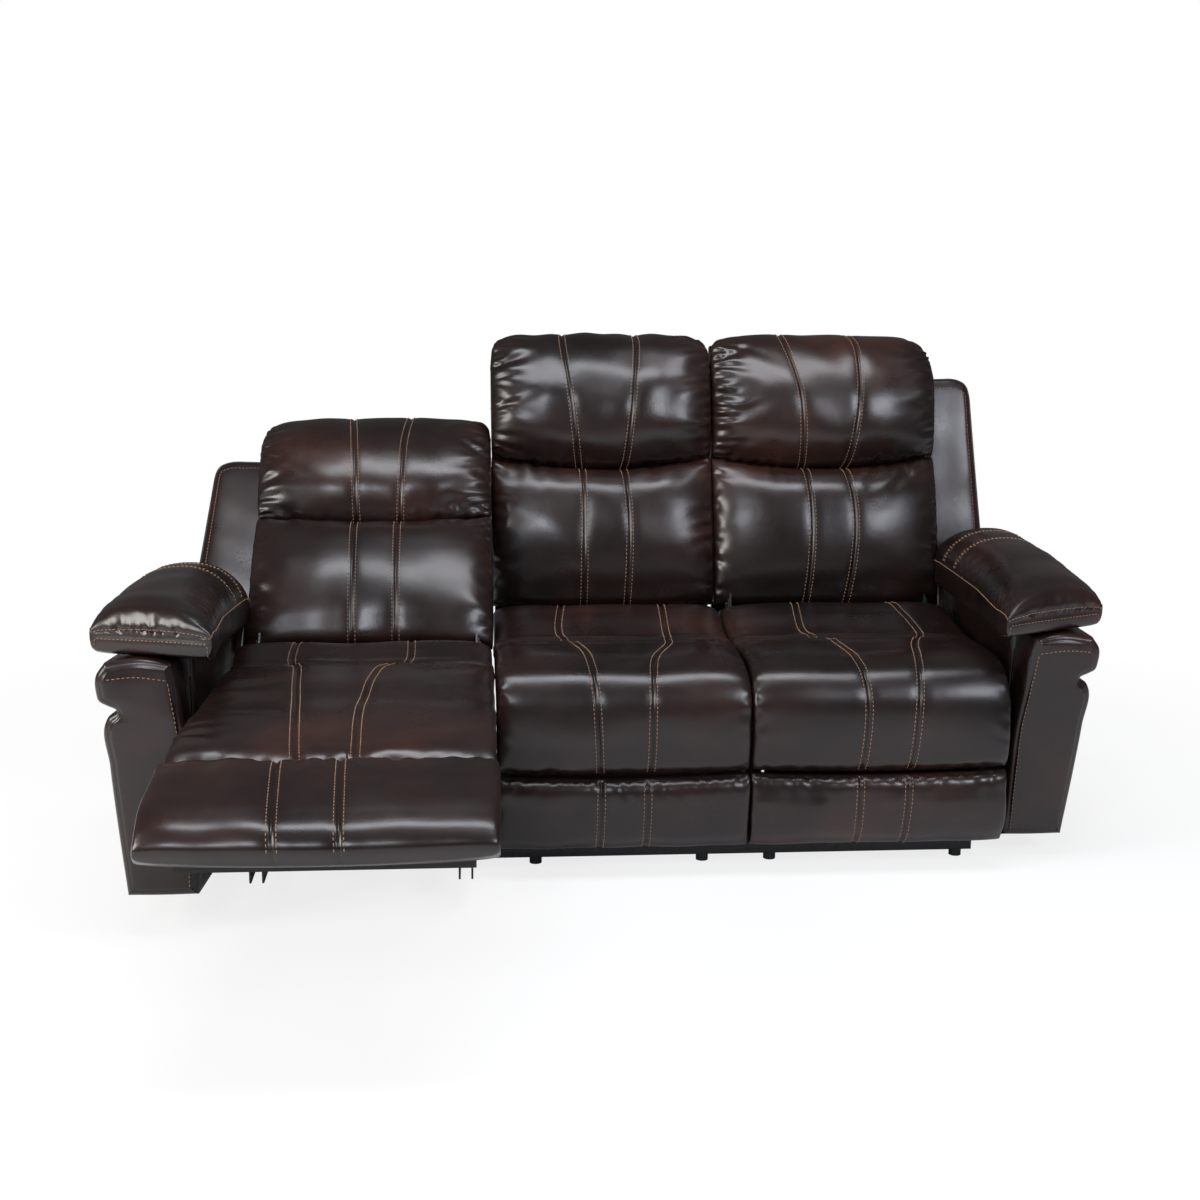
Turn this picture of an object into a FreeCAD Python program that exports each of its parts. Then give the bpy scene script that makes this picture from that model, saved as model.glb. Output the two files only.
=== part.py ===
import FreeCAD, Part
import math
import os

V = FreeCAD.Vector

# Seats and overall layout. Millimetres, X to the sitter's left hand, Y to the rear, Z up.
middle_half = 253.0        # half width of the middle seat's upholstery
unit_inner = 263.0         # inner edge of an end seat's upholstery
unit_outer = 795.0         # outer edge of an end seat's upholstery
seat_gap = 0.3             # running gap between faces that slide or turn on each other
soft_gap = 2.5             # room left between soft pieces
soft_room = 6.0            # room where a soft roll turns beside another piece
end_round = 0.14           # rounding of a pad's ends, as a share of its thickness
pad_drawn = 14.0           # how far a pad's sides draw its ends in
edge_full = 0.55           # thickness at a pad's sides, as a share of its middle
pin_play = 0.05            # pin bores beyond their pins
over_cut = 1.0             # cutters run past the faces that they open
frame_margin = 37.0        # upholstery beyond the frame at the inner edge of an end seat
board_t = 18.0             # plywood boards
plate_t = 4.0              # steel side plates and brackets

# Base on the floor
glide_r = 13.0
glide_h = 18.0
glide_x = (177.0, 322.0, 726.0)
rail_w = 40.0
rail_h = 42.0
base_half = 755.0
base_front_y = -25.0
base_rear_y = 555.0
cross_w = 30.0
cross_h = 32.0
bolt_r = 6.0
bolt_h = 5.0

# Slide that lets an end seat travel away from the wall
track_w = 20.0
track_h = 24.0
runner_wall = 4.0
runner_front = 60.0
runner_rear = 540.0
travel = 315.0
pivot = (262.0, 200.0)     # tilt axis, Y and Z
pivot_r = 12.5
tilt_deg = 6.1
carrier_half = 26.0

# Side plates that carry seat, back and arm
plate_front = -40.0
plate_low = 150.0
plate_top = 322.0
ledge_w = 10.0
ledge_t = 4.0
ledge_low = 30.0           # ledge tops below the plates' tops
plate_nose = 60.0          # chamfer under the plates' front ends
plate_rear = 380.0
plate_rear_z = 250.0
plate_neck_z = 350.0
back_pivot = (470.0, 455.0)
ear_r = 19.0
pin_r = 6.0
arm_tube_r = 14.0
arm_tube_at = ((60.0, 225.0), (330.0, 225.0))

# Seat frame and cushion
seat_frame_h = 38.0
seat_rail_w = 26.0
seat_front = -36.0
seat_rear = 512.0
seat_slide = 115.0
deck_front = 430.0
deck_t = 60.0
spring_count = 5
spring_w = 4.0
spring_half = 20.0
spring_bends = 8
spring_clip = 6.0          # spring ends from the rails' outer faces
cushion_rear = 425.0
cushion_top = 452.0
cushion_fold_y = 190.0
cushion_fold_z = 438.0
cushion_roll_z = 470.0
cushion_lip = 22.0         # front edge of the cushion below its top
cushion_side_drop = 22.0
cushion_drawn = 9.0
crown_rise = 10.0

# Chaise pad, hinged inside the roll at the seat's front edge
chaise_pivot = (-85.0, 396.0)
roll_r = 36.0
chaise_back = -69.0
chaise_end = 206.0
chaise_bulge = 6.0
roll_drawn = 8.0           # the roll is this much thinner at its sides
chaise_open_deg = 75.0

# Footrest board and pad, which run out from behind the chaise pad
foot_board_front = -52.0
foot_board_t = 15.0
foot_low = 62.0
foot_high = 302.0
foot_pad_x = (265.0, 810.0)
foot_tongue_t = 13.0
foot_pad_t = 50.0
foot_step_low = 156.0
foot_step_high = 198.0
foot_lip = 22.0
foot_drawn = 8.0
foot_slide = 92.0

# Folding links under the footrest
link_pivot = (-15.0, 279.0)
link_length = 205.0
link_w = 24.0
link_t = 5.0
link_inset = 95.0
foot_pin = (-20.0, 150.0)
foot_bracket_w = 26.0

# Back, in its own leaning frame: v runs up the back, w to the rear
back_foot = (443.0, 481.0)
back_lean_deg = 14.7
back_seam = 336.0
back_height = 638.0
pad_depth = 85.0
pad_foot = 20.0
lower_crown = 11.0
head_crown = 14.0
head_proud = 8.0           # the headrest beyond the lower pad
frame_t = 40.0
frame_foot = -38.0
frame_head = back_height - 38.0
cover_t = 14.0
cover_foot = -230.0
cover_head = back_height - 18.0
bracket_front = 14.0
bracket_head = 14.0
pin_proud = 3.0
strap_w = 60.0
recline_deg = 24.4
wing_top_v = back_height - 122.0
wing_foot_v = 30.0
wing_top_x = 908.0
wing_foot_x = 944.0
wing_corner = 46.0
wing_t = 40.0

# Arms
arm_front_low = (-31.0, 48.0)
arm_front_high = (-92.0, 468.0)
arm_rear = 524.0
arm_inner_low = 817.0
arm_inner_high = 839.0
arm_inner_break = 300.0
arm_outer_mid = 972.0
arm_outer_low = arm_outer_mid - 18.0
arm_outer_high = arm_outer_mid + 13.0
notch_low = 395.0
notch_mid = 406.0
notch_high = 424.0
notch_depth = 25.0
neck_x = (852.0, arm_outer_high - 27.0)
neck_top = 505.0
pillow_front = -150.0
pillow_rear = 518.0
pillow_x = (784.0, arm_outer_high + 21.0)
pillow_foot = 505.0
pillow_front_h = 94.0
pillow_rear_h = 146.0
pillow_drawn = 26.0        # how far the pillow's ends and lower edges draw in
pillow_under = 30.0
band_low_h = 12.0
band_share = 0.34
pillow_edge = 5.0
# Along the pillow: share of its length, how full it is, and its inner and outer edges off straight
pillow_run = ((0.0, 0.0, -20.0, -130.0), (0.05, 0.62, -22.0, -48.0), (0.15, 0.92, -14.0, -8.0),
              (0.34, 1.0, 0.0, 0.0), (0.72, 1.0, 0.0, 0.0), (0.95, 0.72, 15.0, 0.0), (1.0, 0.1, 18.0, 0.0))
pillow_crown = (0.45, 0.5)  # rise of the top arc at the pillow's ends, and more of it at its middle
pillow_taper = 0.6         # how far its sides draw in, as a share of its ends
pillow_low = 0.7           # inner edge's height as a share of the outer edge's

# Release lever on the arm's outer face
lever_at = (260.0, 330.0)
lever_hub_r = 20.0
lever_hub_t = 12.0
lever_hub_room = 4.0
lever_rise = 12.0
lever_length = 150.0
lever_w = 34.0
lever_t = 12.0
lever_pocket = 6.0

frame_inner = unit_inner + frame_margin
frame_outer = unit_outer - frame_margin + 2.0
rail_bottom = glide_h
rail_top = rail_bottom + rail_h
track_top = rail_top + track_h
seat_frame_low = plate_top - ledge_low + seat_gap
seat_frame_top = seat_frame_low + seat_frame_h


def box(x0, x1, y0, y1, z0, z1):
    return Part.makeBox(x1 - x0, y1 - y0, z1 - z0, V(x0, y0, z0))


def rod(radius, centre, x0, x1):
    return Part.makeCylinder(radius, x1 - x0, V(x0, centre[0], centre[1]), V(1, 0, 0))


def prism(points, x0, x1):
    """Outline in Y and Z, drawn out along X."""
    wire = Part.makePolygon([V(x0, y, z) for y, z in points + points[:1]])
    return Part.Face(wire).extrude(V(x1 - x0, 0, 0))


def outline(corners, bulges, place):
    """Closed wire through corners; each side is a line, or an arc that stands out by its bulge."""
    edges = []
    for i, a in enumerate(corners):
        b = corners[(i + 1) % len(corners)]
        length = math.hypot(b[0] - a[0], b[1] - a[1])
        if abs(bulges[i]) < 0.01:
            edges.append(Part.LineSegment(place(*a), place(*b)).toShape())
            continue
        out = ((b[1] - a[1]) / length, -(b[0] - a[0]) / length)
        mid = ((a[0] + b[0]) / 2 + out[0] * bulges[i], (a[1] + b[1]) / 2 + out[1] * bulges[i])
        edges.append(Part.Arc(place(*a), place(*mid), place(*b)).toShape())
    return Part.Wire(edges)


def loft(wires):
    return Part.makeLoft(wires, True, False)


# Stations across a soft piece: share of its half width, and how full it is there
across = ((-1.0, 0.0), (-0.93, 0.72), (-0.36, 0.97), (0.0, 1.0), (0.36, 0.97), (0.93, 0.72), (1.0, 0.0))


def soft_pad(x0, x1, v0, v1, thick, crown, place):
    """Pad with a flat back at w 0, a crowned face and drawn-in ends and sides."""
    wires = []
    for share, full in across:
        x = (x0 + x1) / 2 + share * (x1 - x0) / 2
        inset = pad_drawn * (1 - full) + end_round * thick + soft_gap
        depth = (thick - crown) * (edge_full + (1 - edge_full) * full)
        corners = [(v0 + inset, 0.0), (v0 + inset, -depth), (v1 - inset, -depth), (v1 - inset, 0.0)]
        bulges = [end_round * thick, crown * (0.4 + 0.6 * full), end_round * thick, 0.0]
        wires.append(outline(corners, bulges, lambda v, w, x=x: place(x, v, w)))
    return loft(wires)


def back_place(x, v, w):
    """Point in the back's leaning frame, w measured from the front of its upholstery."""
    lean = math.radians(back_lean_deg)
    y = back_foot[0] + v * math.sin(lean) + w * math.cos(lean)
    z = back_foot[1] + v * math.cos(lean) - w * math.sin(lean)
    return V(x, y, z)


def back_block(x0, x1, v0, v1, w0, w1):
    ring = [back_place(x0, v, w) for v, w in ((v0, w0), (v1, w0), (v1, w1), (v0, w1), (v0, w0))]
    return Part.Face(Part.makePolygon(ring)).extrude(V(x1 - x0, 0, 0))


def back_plate(points, w0, w1):
    """Outline in X and v, as thick as w0 to w1."""
    ring = [back_place(x, v, w0) for x, v in points + points[:1]]
    through = back_place(0, 0, w1) - back_place(0, 0, w0)
    return Part.Face(Part.makePolygon(ring)).extrude(through)


def turned(points, centre, degrees):
    a = math.radians(degrees)
    out = []
    for y, z in points:
        dy, dz = y - centre[0], z - centre[1]
        out.append((centre[0] + dy * math.cos(a) - dz * math.sin(a),
                    centre[1] + dy * math.sin(a) + dz * math.cos(a)))
    return out


# Base

def floor_glides():
    glides = []
    for sign in (-1, 1):
        for x in glide_x:
            for y in (base_front_y + rail_w / 2, base_rear_y + rail_w / 2):
                glides.append(Part.makeCylinder(glide_r, glide_h, V(sign * x, y, 0)))
    return Part.Compound(glides)


def base_rail(y):
    return box(-base_half, base_half, y, y + rail_w, rail_bottom, rail_top)


def cross_rails():
    y0, y1 = base_front_y + rail_w, base_rear_y
    top = rail_top
    return Part.Compound([box(s * x - cross_w / 2, s * x + cross_w / 2, y0, y1, top - cross_h, top)
                          for s in (-1, 1) for x in glide_x])


def base_bolts():
    bolts = []
    for sign in (-1, 1):
        for x in glide_x:
            for y, out in ((base_front_y, -1), (base_rear_y + rail_w, 1)):
                head = Part.makeCylinder(bolt_r, bolt_h, V(sign * x, y, rail_top - cross_h / 2), V(0, out, 0))
                bolts.append(head)
    return Part.Compound(bolts)


def slide_tracks():
    return Part.Compound([box(s * x - track_w / 2, s * x + track_w / 2, base_front_y, base_rear_y + rail_w,
                              rail_top, track_top) for s in (-1, 1) for x in glide_x[1:]])


# End seat's carriage and side plates

def carriage():
    half = track_w / 2 + seat_gap
    outer = half + runner_wall
    low = rail_top + 4 * seat_gap
    top = track_top + seat_gap + runner_wall
    solids = []
    for x in glide_x[1:]:
        runner = box(x - outer, x + outer, runner_front, runner_rear, low, top)
        runner = runner.cut(box(x - half, x + half, runner_front - over_cut, runner_rear + over_cut,
                                low - over_cut, track_top + seat_gap))
        post = prism([(pivot[0] - 2 * carrier_half, top), (pivot[0] + 2 * carrier_half, top),
                      (pivot[0] + carrier_half, pivot[1] + carrier_half),
                      (pivot[0] - carrier_half, pivot[1] + carrier_half)],
                     x - plate_t / 2, x + plate_t / 2)
        solids += [runner, post]
    x0, x1 = plate_x(0)[0] - pin_proud, plate_x(1)[1] + pin_proud
    tube = rod(pivot_r, pivot, x0, x1)
    bore = rod(pivot_r - pin_proud, pivot, x0 - over_cut, x1 + over_cut)
    return tube.fuse(solids).cut(bore).removeSplitter()


def plate_x(index):
    """Faces of the inner (0) or outer (1) side plate."""
    if index == 0:
        face = frame_inner - plate_t - seat_gap
        return face - plate_t, face
    face = frame_outer + plate_t + seat_gap
    return face, face + plate_t


def side_plates():
    rear = back_pivot[0]
    head = back_pivot[1]
    corner = 0.26 * ear_r
    points = [(plate_front, plate_low + plate_nose), (plate_front + plate_nose, plate_low), (plate_rear, plate_low),
              (plate_rear, plate_rear_z), (rear - 0.63 * ear_r, plate_neck_z), (rear + ear_r, head - 0.42 * ear_r),
              (rear + ear_r - corner, head + ear_r - corner), (rear - ear_r + corner, head + ear_r - corner),
              (rear - ear_r, head - 0.53 * ear_r), (rear - 2.2 * ear_r, plate_top), (plate_front, plate_top)]
    plates = []
    for index in (0, 1):
        x0, x1 = plate_x(index)
        plate = prism(points, x0, x1)
        plate = plate.cut(rod(pivot_r + pin_play, pivot, x0 - over_cut, x1 + over_cut))
        plate = plate.cut(rod(pin_r + pin_play, back_pivot, x0 - over_cut, x1 + over_cut))
        low, high = plate_top - ledge_low - ledge_t, plate_top - ledge_low
        ledge_x = (x1, x1 + ledge_w) if index == 0 else (x0 - ledge_w, x0)
        ledge = box(ledge_x[0], ledge_x[1], plate_front + ledge_t, rear - plate_nose, low, high)
        tubes = [rod(arm_tube_r, at, x1, arm_inner_low) for at in arm_tube_at] if index else []
        plates.append(plate.fuse([ledge] + tubes).removeSplitter())
    return Part.Compound(plates)


# Seats

def seat_frame(x0, x1, low):
    """Two side rails with a front and a rear rail butted between them."""
    top = low + seat_frame_h
    inner = (x0 + seat_rail_w, x1 - seat_rail_w)
    return Part.Compound([box(x0, inner[0], seat_front, seat_rear, low, top),
                          box(inner[1], x1, seat_front, seat_rear, low, top),
                          box(inner[0], inner[1], seat_front, seat_front + seat_rail_w, low, top),
                          box(inner[0], inner[1], seat_rear - seat_rail_w, seat_rear, low, top)])


def seat_springs(x0, x1, low):
    """Flat zigzag springs, clipped on the front and rear rails."""
    y0, y1 = seat_front + spring_clip, seat_rear - spring_clip
    z0 = low + seat_frame_h
    pitch = (x1 - x0 - 2 * seat_rail_w) / spring_count
    step = (y1 - y0) / (2 * spring_bends)
    springs = []
    for i in range(spring_count):
        xc = x0 + seat_rail_w + pitch * (i + 0.5)
        left = []
        for j in range(2 * spring_bends + 1):
            side = spring_half if j % 2 else -spring_half
            left.append((xc + side, y0 + j * step))
        right = [(x + spring_w, y) for x, y in left]
        ring = left + right[::-1]
        wire = Part.makePolygon([V(x, y, z0) for x, y in ring + ring[:1]])
        springs.append(Part.Face(wire).extrude(V(0, 0, spring_w)))
    return Part.Compound(springs)


def seat_deck(x0, x1, low):
    top = low + seat_frame_h + spring_w
    return box(x0, x1, deck_front, seat_rear, top, top + deck_t)


def seat_cushion(x0, x1, low):
    """Crowned cushion with a sewn fold and a low roll in front of the back."""
    foot = low + seat_frame_h + spring_w
    front = chaise_pivot[0] + roll_r + soft_room
    wires = []
    for share, full in across:
        x = (x0 + x1) / 2 + share * (x1 - x0) / 2
        drop = cushion_side_drop * (1 - full)
        inset = cushion_drawn * (1 - full)
        corners = [(front + inset, foot), (cushion_rear - inset, foot), (cushion_rear - inset, cushion_roll_z - drop),
                   (cushion_fold_y, cushion_fold_z - drop), (front + inset, cushion_top - cushion_lip - drop)]
        bulges = [0.0, 0.0, crown_rise * (full + 0.4), crown_rise * (full + 0.6), 0.0]
        wires.append(outline(corners, bulges, lambda y, z, x=x: V(x, y, z)))
    return loft(wires)


def chaise_pad(x0, x1):
    """Pad that hangs from a roll about the hinge and bulges forward."""
    cy, cz = chaise_pivot
    wires = []
    for share, full in across:
        x = (x0 + x1) / 2 + share * (x1 - x0) / 2
        r = roll_r - roll_drawn * (1 - full)
        front = cy - r
        corners = [(chaise_back, chaise_end), (chaise_back, cz - r * 0.6), (cy + r * 0.8, cz - r * 0.6),
                   (cy + r * 0.8, cz + r * 0.6), (front + r * 0.2, cz + r * 0.6), (front, chaise_end + 20),
                   (chaise_back - 22, chaise_end)]
        bulges = [0.0, 0.0, r * 0.2, r * 0.4, chaise_bulge * full + r * 0.12, 6.0, 0.0]
        wires.append(outline(corners, bulges, lambda y, z, x=x: V(x, y, z)))
    return loft(wires)


def foot_board(x0, x1):
    return box(x0, x1, foot_board_front, foot_board_front + foot_board_t, foot_low, foot_high)


def foot_brackets(xs):
    """Lugs behind the footrest board that hold the front links' pins."""
    rear = foot_board_front + foot_board_t
    lugs = []
    for x in xs:
        lug = box(x, x + link_t, rear, foot_pin[0] + foot_bracket_w / 2,
                  foot_pin[1] - foot_bracket_w / 2, foot_pin[1] + foot_bracket_w / 2)
        lugs.append(lug)
    return lugs


def foot_pad(x0, x1):
    """Full at its lower half, with a thin tongue that lies behind the chaise pad."""
    wires = []
    for share, full in across:
        x = (x0 + x1) / 2 + share * (x1 - x0) / 2
        inset = foot_drawn * (1 - full)
        face = foot_board_front
        tongue = foot_tongue_t
        depth = tongue + (foot_pad_t - tongue) * (0.45 + 0.55 * full)
        corners = [(face, foot_low), (face, foot_high), (face - tongue, foot_high - inset),
                   (face - tongue, foot_step_high), (face - depth, foot_step_low), (face - depth, foot_low + foot_lip + inset),
                   (face - depth * 0.4, foot_low)]
        bulges = [0.0, 0.0, 0.0, 3.0, 5.0 * full + 1, 5.0, 0.0]
        wires.append(outline(corners, bulges, lambda y, z, x=x: V(x, y, z)))
    return loft(wires)


# Folding links

def elbow(a, b, length):
    """Joint between two equal links from a to b, on the rear or lower side."""
    dy, dz = b[0] - a[0], b[1] - a[1]
    apart = math.hypot(dy, dz)
    rise = math.sqrt(max(length ** 2 - apart ** 2 / 4, 0.0))
    return ((a[0] + b[0]) / 2 - dz / apart * rise, (a[1] + b[1]) / 2 + dy / apart * rise)


def foot_pin_open():
    low = (foot_pin[0], foot_pin[1] - foot_slide)
    return turned([low], chaise_pivot, -chaise_open_deg)[0]


def link_angles():
    """Turn of the rear link on the seat, and of the front link on the footrest, from closed to open."""
    shut = elbow(link_pivot, foot_pin, link_length)
    wide = elbow(link_pivot, foot_pin_open(), link_length)

    def heading(a, b):
        return math.degrees(math.atan2(b[1] - a[1], b[0] - a[0]))
    rear = heading(link_pivot, wide) - heading(link_pivot, shut)
    front = heading(foot_pin_open(), wide) - heading(foot_pin, shut)
    rear = (rear + 180) % 360 - 180
    front = (front + 180) % 360 - 180
    return rear, front + chaise_open_deg


def link(a, b, x0, x1, holes=()):
    dy, dz = b[0] - a[0], b[1] - a[1]
    length = math.hypot(dy, dz)
    ny, nz = -dz / length * link_w / 2, dy / length * link_w / 2
    bar = prism([(a[0] + ny, a[1] + nz), (a[0] - ny, a[1] - nz), (b[0] - ny, b[1] - nz),
                 (b[0] + ny, b[1] + nz)], x0, x1)
    bar = bar.fuse([rod(link_w / 2, a, x0, x1), rod(link_w / 2, b, x0, x1)])
    for hole in holes:
        bar = bar.cut(rod(pin_r + pin_play, hole, x0 - over_cut, x1 + over_cut))
    return bar.removeSplitter()


def link_planes():
    """For each side of an end seat: X of the rear link, front link and the direction outwards."""
    return ((frame_inner + link_inset, 1), (frame_outer - link_inset, -1))


def rear_links():
    shut = elbow(link_pivot, foot_pin, link_length)
    bars = []
    for x, way in link_planes():
        x0, x1 = sorted((x, x + way * link_t))
        bars.append(link(link_pivot, shut, x0, x1, (link_pivot,)))
    x0, x1 = link_planes()[0][0] + link_t, link_planes()[1][0] - link_t
    bars.append(rod(pin_r, shut, x0, x1))
    whole = bars[0].fuse(bars[1:])
    return whole.removeSplitter()


def front_links():
    shut = elbow(link_pivot, foot_pin, link_length)
    bars = []
    for x, way in link_planes():
        x0, x1 = sorted((x - way * seat_gap, x - way * (seat_gap + link_t)))
        bars.append(link(foot_pin, shut, x0, x1, (foot_pin,)))
    return Part.Compound(bars)


def link_hangers():
    """Lugs under the seat frame's front rail with the rear links' pins."""
    solids = []
    y0 = seat_front
    for x, way in link_planes():
        x0, x1 = sorted((x - way * seat_gap, x - way * (seat_gap + link_t)))
        pin_x = sorted((x - way * (seat_gap + link_t), x + way * link_t))
        lug = box(x0, x1, y0, link_pivot[0] + link_w / 2, link_pivot[1] - link_w / 2, seat_frame_low)
        solids.append(lug.fuse(rod(pin_r, link_pivot, pin_x[0], pin_x[1])).removeSplitter())
    return Part.Compound(solids)


# Backs

def back_board(x0, x1):
    """Board that backs the pads."""
    return back_block(x0, x1, frame_foot, frame_head, pad_depth, pad_depth + frame_t)


def back_brackets(x0, x1):
    """Plates on the back board's edges with the pins that the back turns on."""
    solids = []
    for face, way in ((x0, -1), (x1, 1)):
        a, b = sorted((face, face + way * plate_t))
        plate = back_block(a, b, frame_foot, bracket_head, bracket_front, pad_depth + frame_t)
        ends = sorted((face, face + way * (2 * plate_t + seat_gap + pin_proud)))
        solids.append(plate.fuse(rod(pin_r, back_pivot, ends[0], ends[1])).removeSplitter())
    return Part.Compound(solids)


def middle_brackets(x):
    """Straps that hold the fixed back on the sides of the middle seat's frame."""
    def at(v, w):
        point = back_place(0, v, w)
        return point.y, point.z
    rear = seat_rear - ledge_t
    points = [(rear - strap_w, seat_frame_low + ledge_t), (rear, seat_frame_low + ledge_t),
              at(frame_foot, pad_depth + frame_t - ledge_t), at(strap_w, pad_depth + frame_t - ledge_t),
              at(strap_w, pad_depth + ledge_t), at(frame_foot, pad_depth + ledge_t),
              (rear - strap_w, seat_frame_top - ledge_t)]
    return Part.Compound([prism(points, *sorted((s * x, s * (x + plate_t)))) for s in (-1, 1)])


def lower_back_pad(x0, x1):
    place = lambda x, v, w: back_place(x, v, w + pad_depth)
    return soft_pad(x0, x1, pad_foot, back_seam - soft_gap, pad_depth, lower_crown, place)


def headrest_pad(x0, x1):
    """Upper pillow, which rolls over the top of the frame."""
    place = lambda x, v, w: back_place(x, v, w + pad_depth)
    front = soft_pad(x0, x1, back_seam + soft_gap, back_height, pad_depth + head_proud, head_crown, place)
    top = back_block(x0 + head_crown, x1 - head_crown, frame_head, back_height - head_proud,
                     pad_depth - head_proud, pad_depth + frame_t)
    return front.fuse(top).removeSplitter()


def outer_back(points):
    w0 = pad_depth + frame_t
    return back_plate(points, w0, w0 + cover_t)


def end_cover_points():
    foot_x = wing_foot_x - 6
    skirt_x = arm_inner_low - soft_room - soft_gap
    return [(unit_inner + 4, cover_foot), (skirt_x, cover_foot), (skirt_x, wing_foot_v), (foot_x, wing_foot_v),
            (wing_top_x - 6, wing_top_v - wing_corner), (wing_top_x - wing_corner, wing_top_v - 6),
            (unit_outer - 10, wing_top_v - 2), (unit_outer - 14, cover_head), (unit_inner + 14, cover_head)]


def back_wing():
    """Flat panel beside the back cushion with a rounded outer top corner."""
    points = [(frame_outer, wing_foot_v), (wing_foot_x, wing_foot_v), (wing_top_x, wing_top_v - wing_corner),
              (wing_top_x - wing_corner * 0.3, wing_top_v - wing_corner * 0.3),
              (wing_top_x - wing_corner, wing_top_v), (frame_outer, wing_top_v)]
    return back_plate(points, pad_depth + soft_gap, pad_depth + wing_t)


# Arms

def arm_panel():
    points = [(arm_inner_low, arm_front_low[1]), (arm_outer_low, arm_front_low[1]), (arm_outer_mid, notch_low),
              (arm_outer_mid - notch_depth, notch_mid), (arm_outer_high - 2, notch_high),
              (arm_outer_high, arm_front_high[1]), (neck_x[1], arm_front_high[1]), (neck_x[1], neck_top),
              (neck_x[0], neck_top), (neck_x[0], arm_front_high[1]), (arm_inner_high, arm_front_high[1]),
              (arm_inner_low, arm_inner_break)]
    y0 = arm_front_high[0] - over_cut
    ring = Part.makePolygon([V(x, y0, z) for x, z in points + points[:1]])
    body = Part.Face(ring).extrude(V(0, arm_rear - y0, 0))
    high = neck_top + over_cut
    front = [(arm_front_low[0], arm_front_low[1]), (arm_front_high[0], arm_front_high[1]),
             (arm_front_high[0], high), (arm_rear, high), (arm_rear, 0.0), (arm_front_low[0], 0.0)]
    body = body.common(prism(front, arm_inner_low - over_cut, arm_outer_high + over_cut))
    pocket = rod(lever_hub_r + lever_hub_room, lever_at, lever_face() - lever_pocket, arm_outer_high)
    return body.cut(pocket).removeSplitter()


def arm_pillow():
    """Long pillow with a boxed lower band; its crown climbs to the rear and its front end is swept."""
    wires = []
    for share, full, inner_off, outer_off in pillow_run:
        y = pillow_front + share * (pillow_rear - pillow_front)
        height = pillow_front_h + share * (pillow_rear_h - pillow_front_h)
        inset = pillow_drawn * (1 - full)
        inner = pillow_x[0] + inset * pillow_taper + inner_off
        outer = pillow_x[1] - inset * pillow_taper + outer_off
        side = band_low_h + band_share * height * full
        corners = [(inner + pillow_drawn, pillow_foot), (outer - pillow_under, pillow_foot),
                   (outer - pillow_edge, pillow_foot + side),
                   (inner + band_low_h, pillow_foot + side * pillow_low)]
        rise = pillow_crown[0] + pillow_crown[1] * full
        bulges = [0.0, pillow_edge, (height - side) * rise, pillow_edge]
        wires.append(outline(corners, bulges, lambda x, z, y=y: V(x, y, z)))
    return loft(wires)


def lever_face():
    """X of the arm's outer face at the lever's height."""
    share = (lever_at[1] - arm_front_low[1]) / (notch_low - arm_front_low[1])
    return arm_outer_low + share * (arm_outer_mid - arm_outer_low)


def release_lever():
    x0 = lever_face() - lever_pocket + seat_gap
    x1 = x0 + lever_pocket + lever_hub_t
    y, z = lever_at
    hub = rod(lever_hub_r, lever_at, x0, x1)
    ends = [(y, z), (y - lever_length, z + lever_rise)]
    half = lever_w / 2
    bar = prism([(y, z + half * 0.8), (y, z - half * 0.8), (y - lever_length, z + lever_rise - half),
                 (y - lever_length, z + lever_rise + half)], x1 - over_cut, x1 - over_cut + lever_t)
    tip = rod(half, ends[1], x1 - over_cut, x1 - over_cut + lever_t)
    return hub.fuse([bar, tip]).removeSplitter()


# Middle seat's box

def middle_sides():
    x1 = middle_half - 3
    return Part.Compound([box(min(s * x1, s * (x1 - board_t)), max(s * x1, s * (x1 - board_t)),
                              seat_front, seat_rear - 30, rail_top, seat_frame_low) for s in (-1, 1)])


def middle_front_board():
    x1 = middle_half - 3
    return box(-x1, x1, foot_board_front, seat_front, rail_top, seat_frame_low)


def middle_panel(x0, x1):
    """Lower front panel of the middle seat, the same height as a closed footrest."""
    place = lambda x, v, w: V(x, foot_board_front + w, v)
    return soft_pad(x0, x1, foot_low, chaise_end - soft_gap, foot_pad_t + 4, 7.0, place)


# Where each body stands for an open or closed seat

def slid(dy, dz=0.0):
    return FreeCAD.Placement(V(0, dy, dz), FreeCAD.Rotation())


def swung(centre, degrees):
    turn = FreeCAD.Rotation(V(1, 0, 0), degrees)
    c = V(0, centre[0], centre[1])
    return FreeCAD.Placement(c, FreeCAD.Rotation()).multiply(
        FreeCAD.Placement(V(0, 0, 0), turn)).multiply(FreeCAD.Placement(-c, FreeCAD.Rotation()))


def seat_places(recline, raised):
    """Placement of each body of an end seat; recline and raised footrest each go from 0 to 1."""
    rear_turn, front_turn = link_angles()
    carriage_at = slid(-travel * recline)
    chassis = carriage_at.multiply(swung(pivot, -tilt_deg * recline))
    seat = chassis.multiply(slid(-seat_slide * recline))
    chaise = seat.multiply(swung(chaise_pivot, -chaise_open_deg * raised))
    foot = chaise.multiply(slid(0.0, -foot_slide * raised))
    return {"carriage": carriage_at, "chassis": chassis, "seat": seat, "chaise": chaise, "footrest": foot,
            "rear_links": seat.multiply(swung(link_pivot, rear_turn * raised)),
            "front_links": foot.multiply(swung(foot_pin, front_turn * raised)),
            "back": chassis.multiply(swung(back_pivot, -recline_deg * recline)),
            "lever": chassis}


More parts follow.
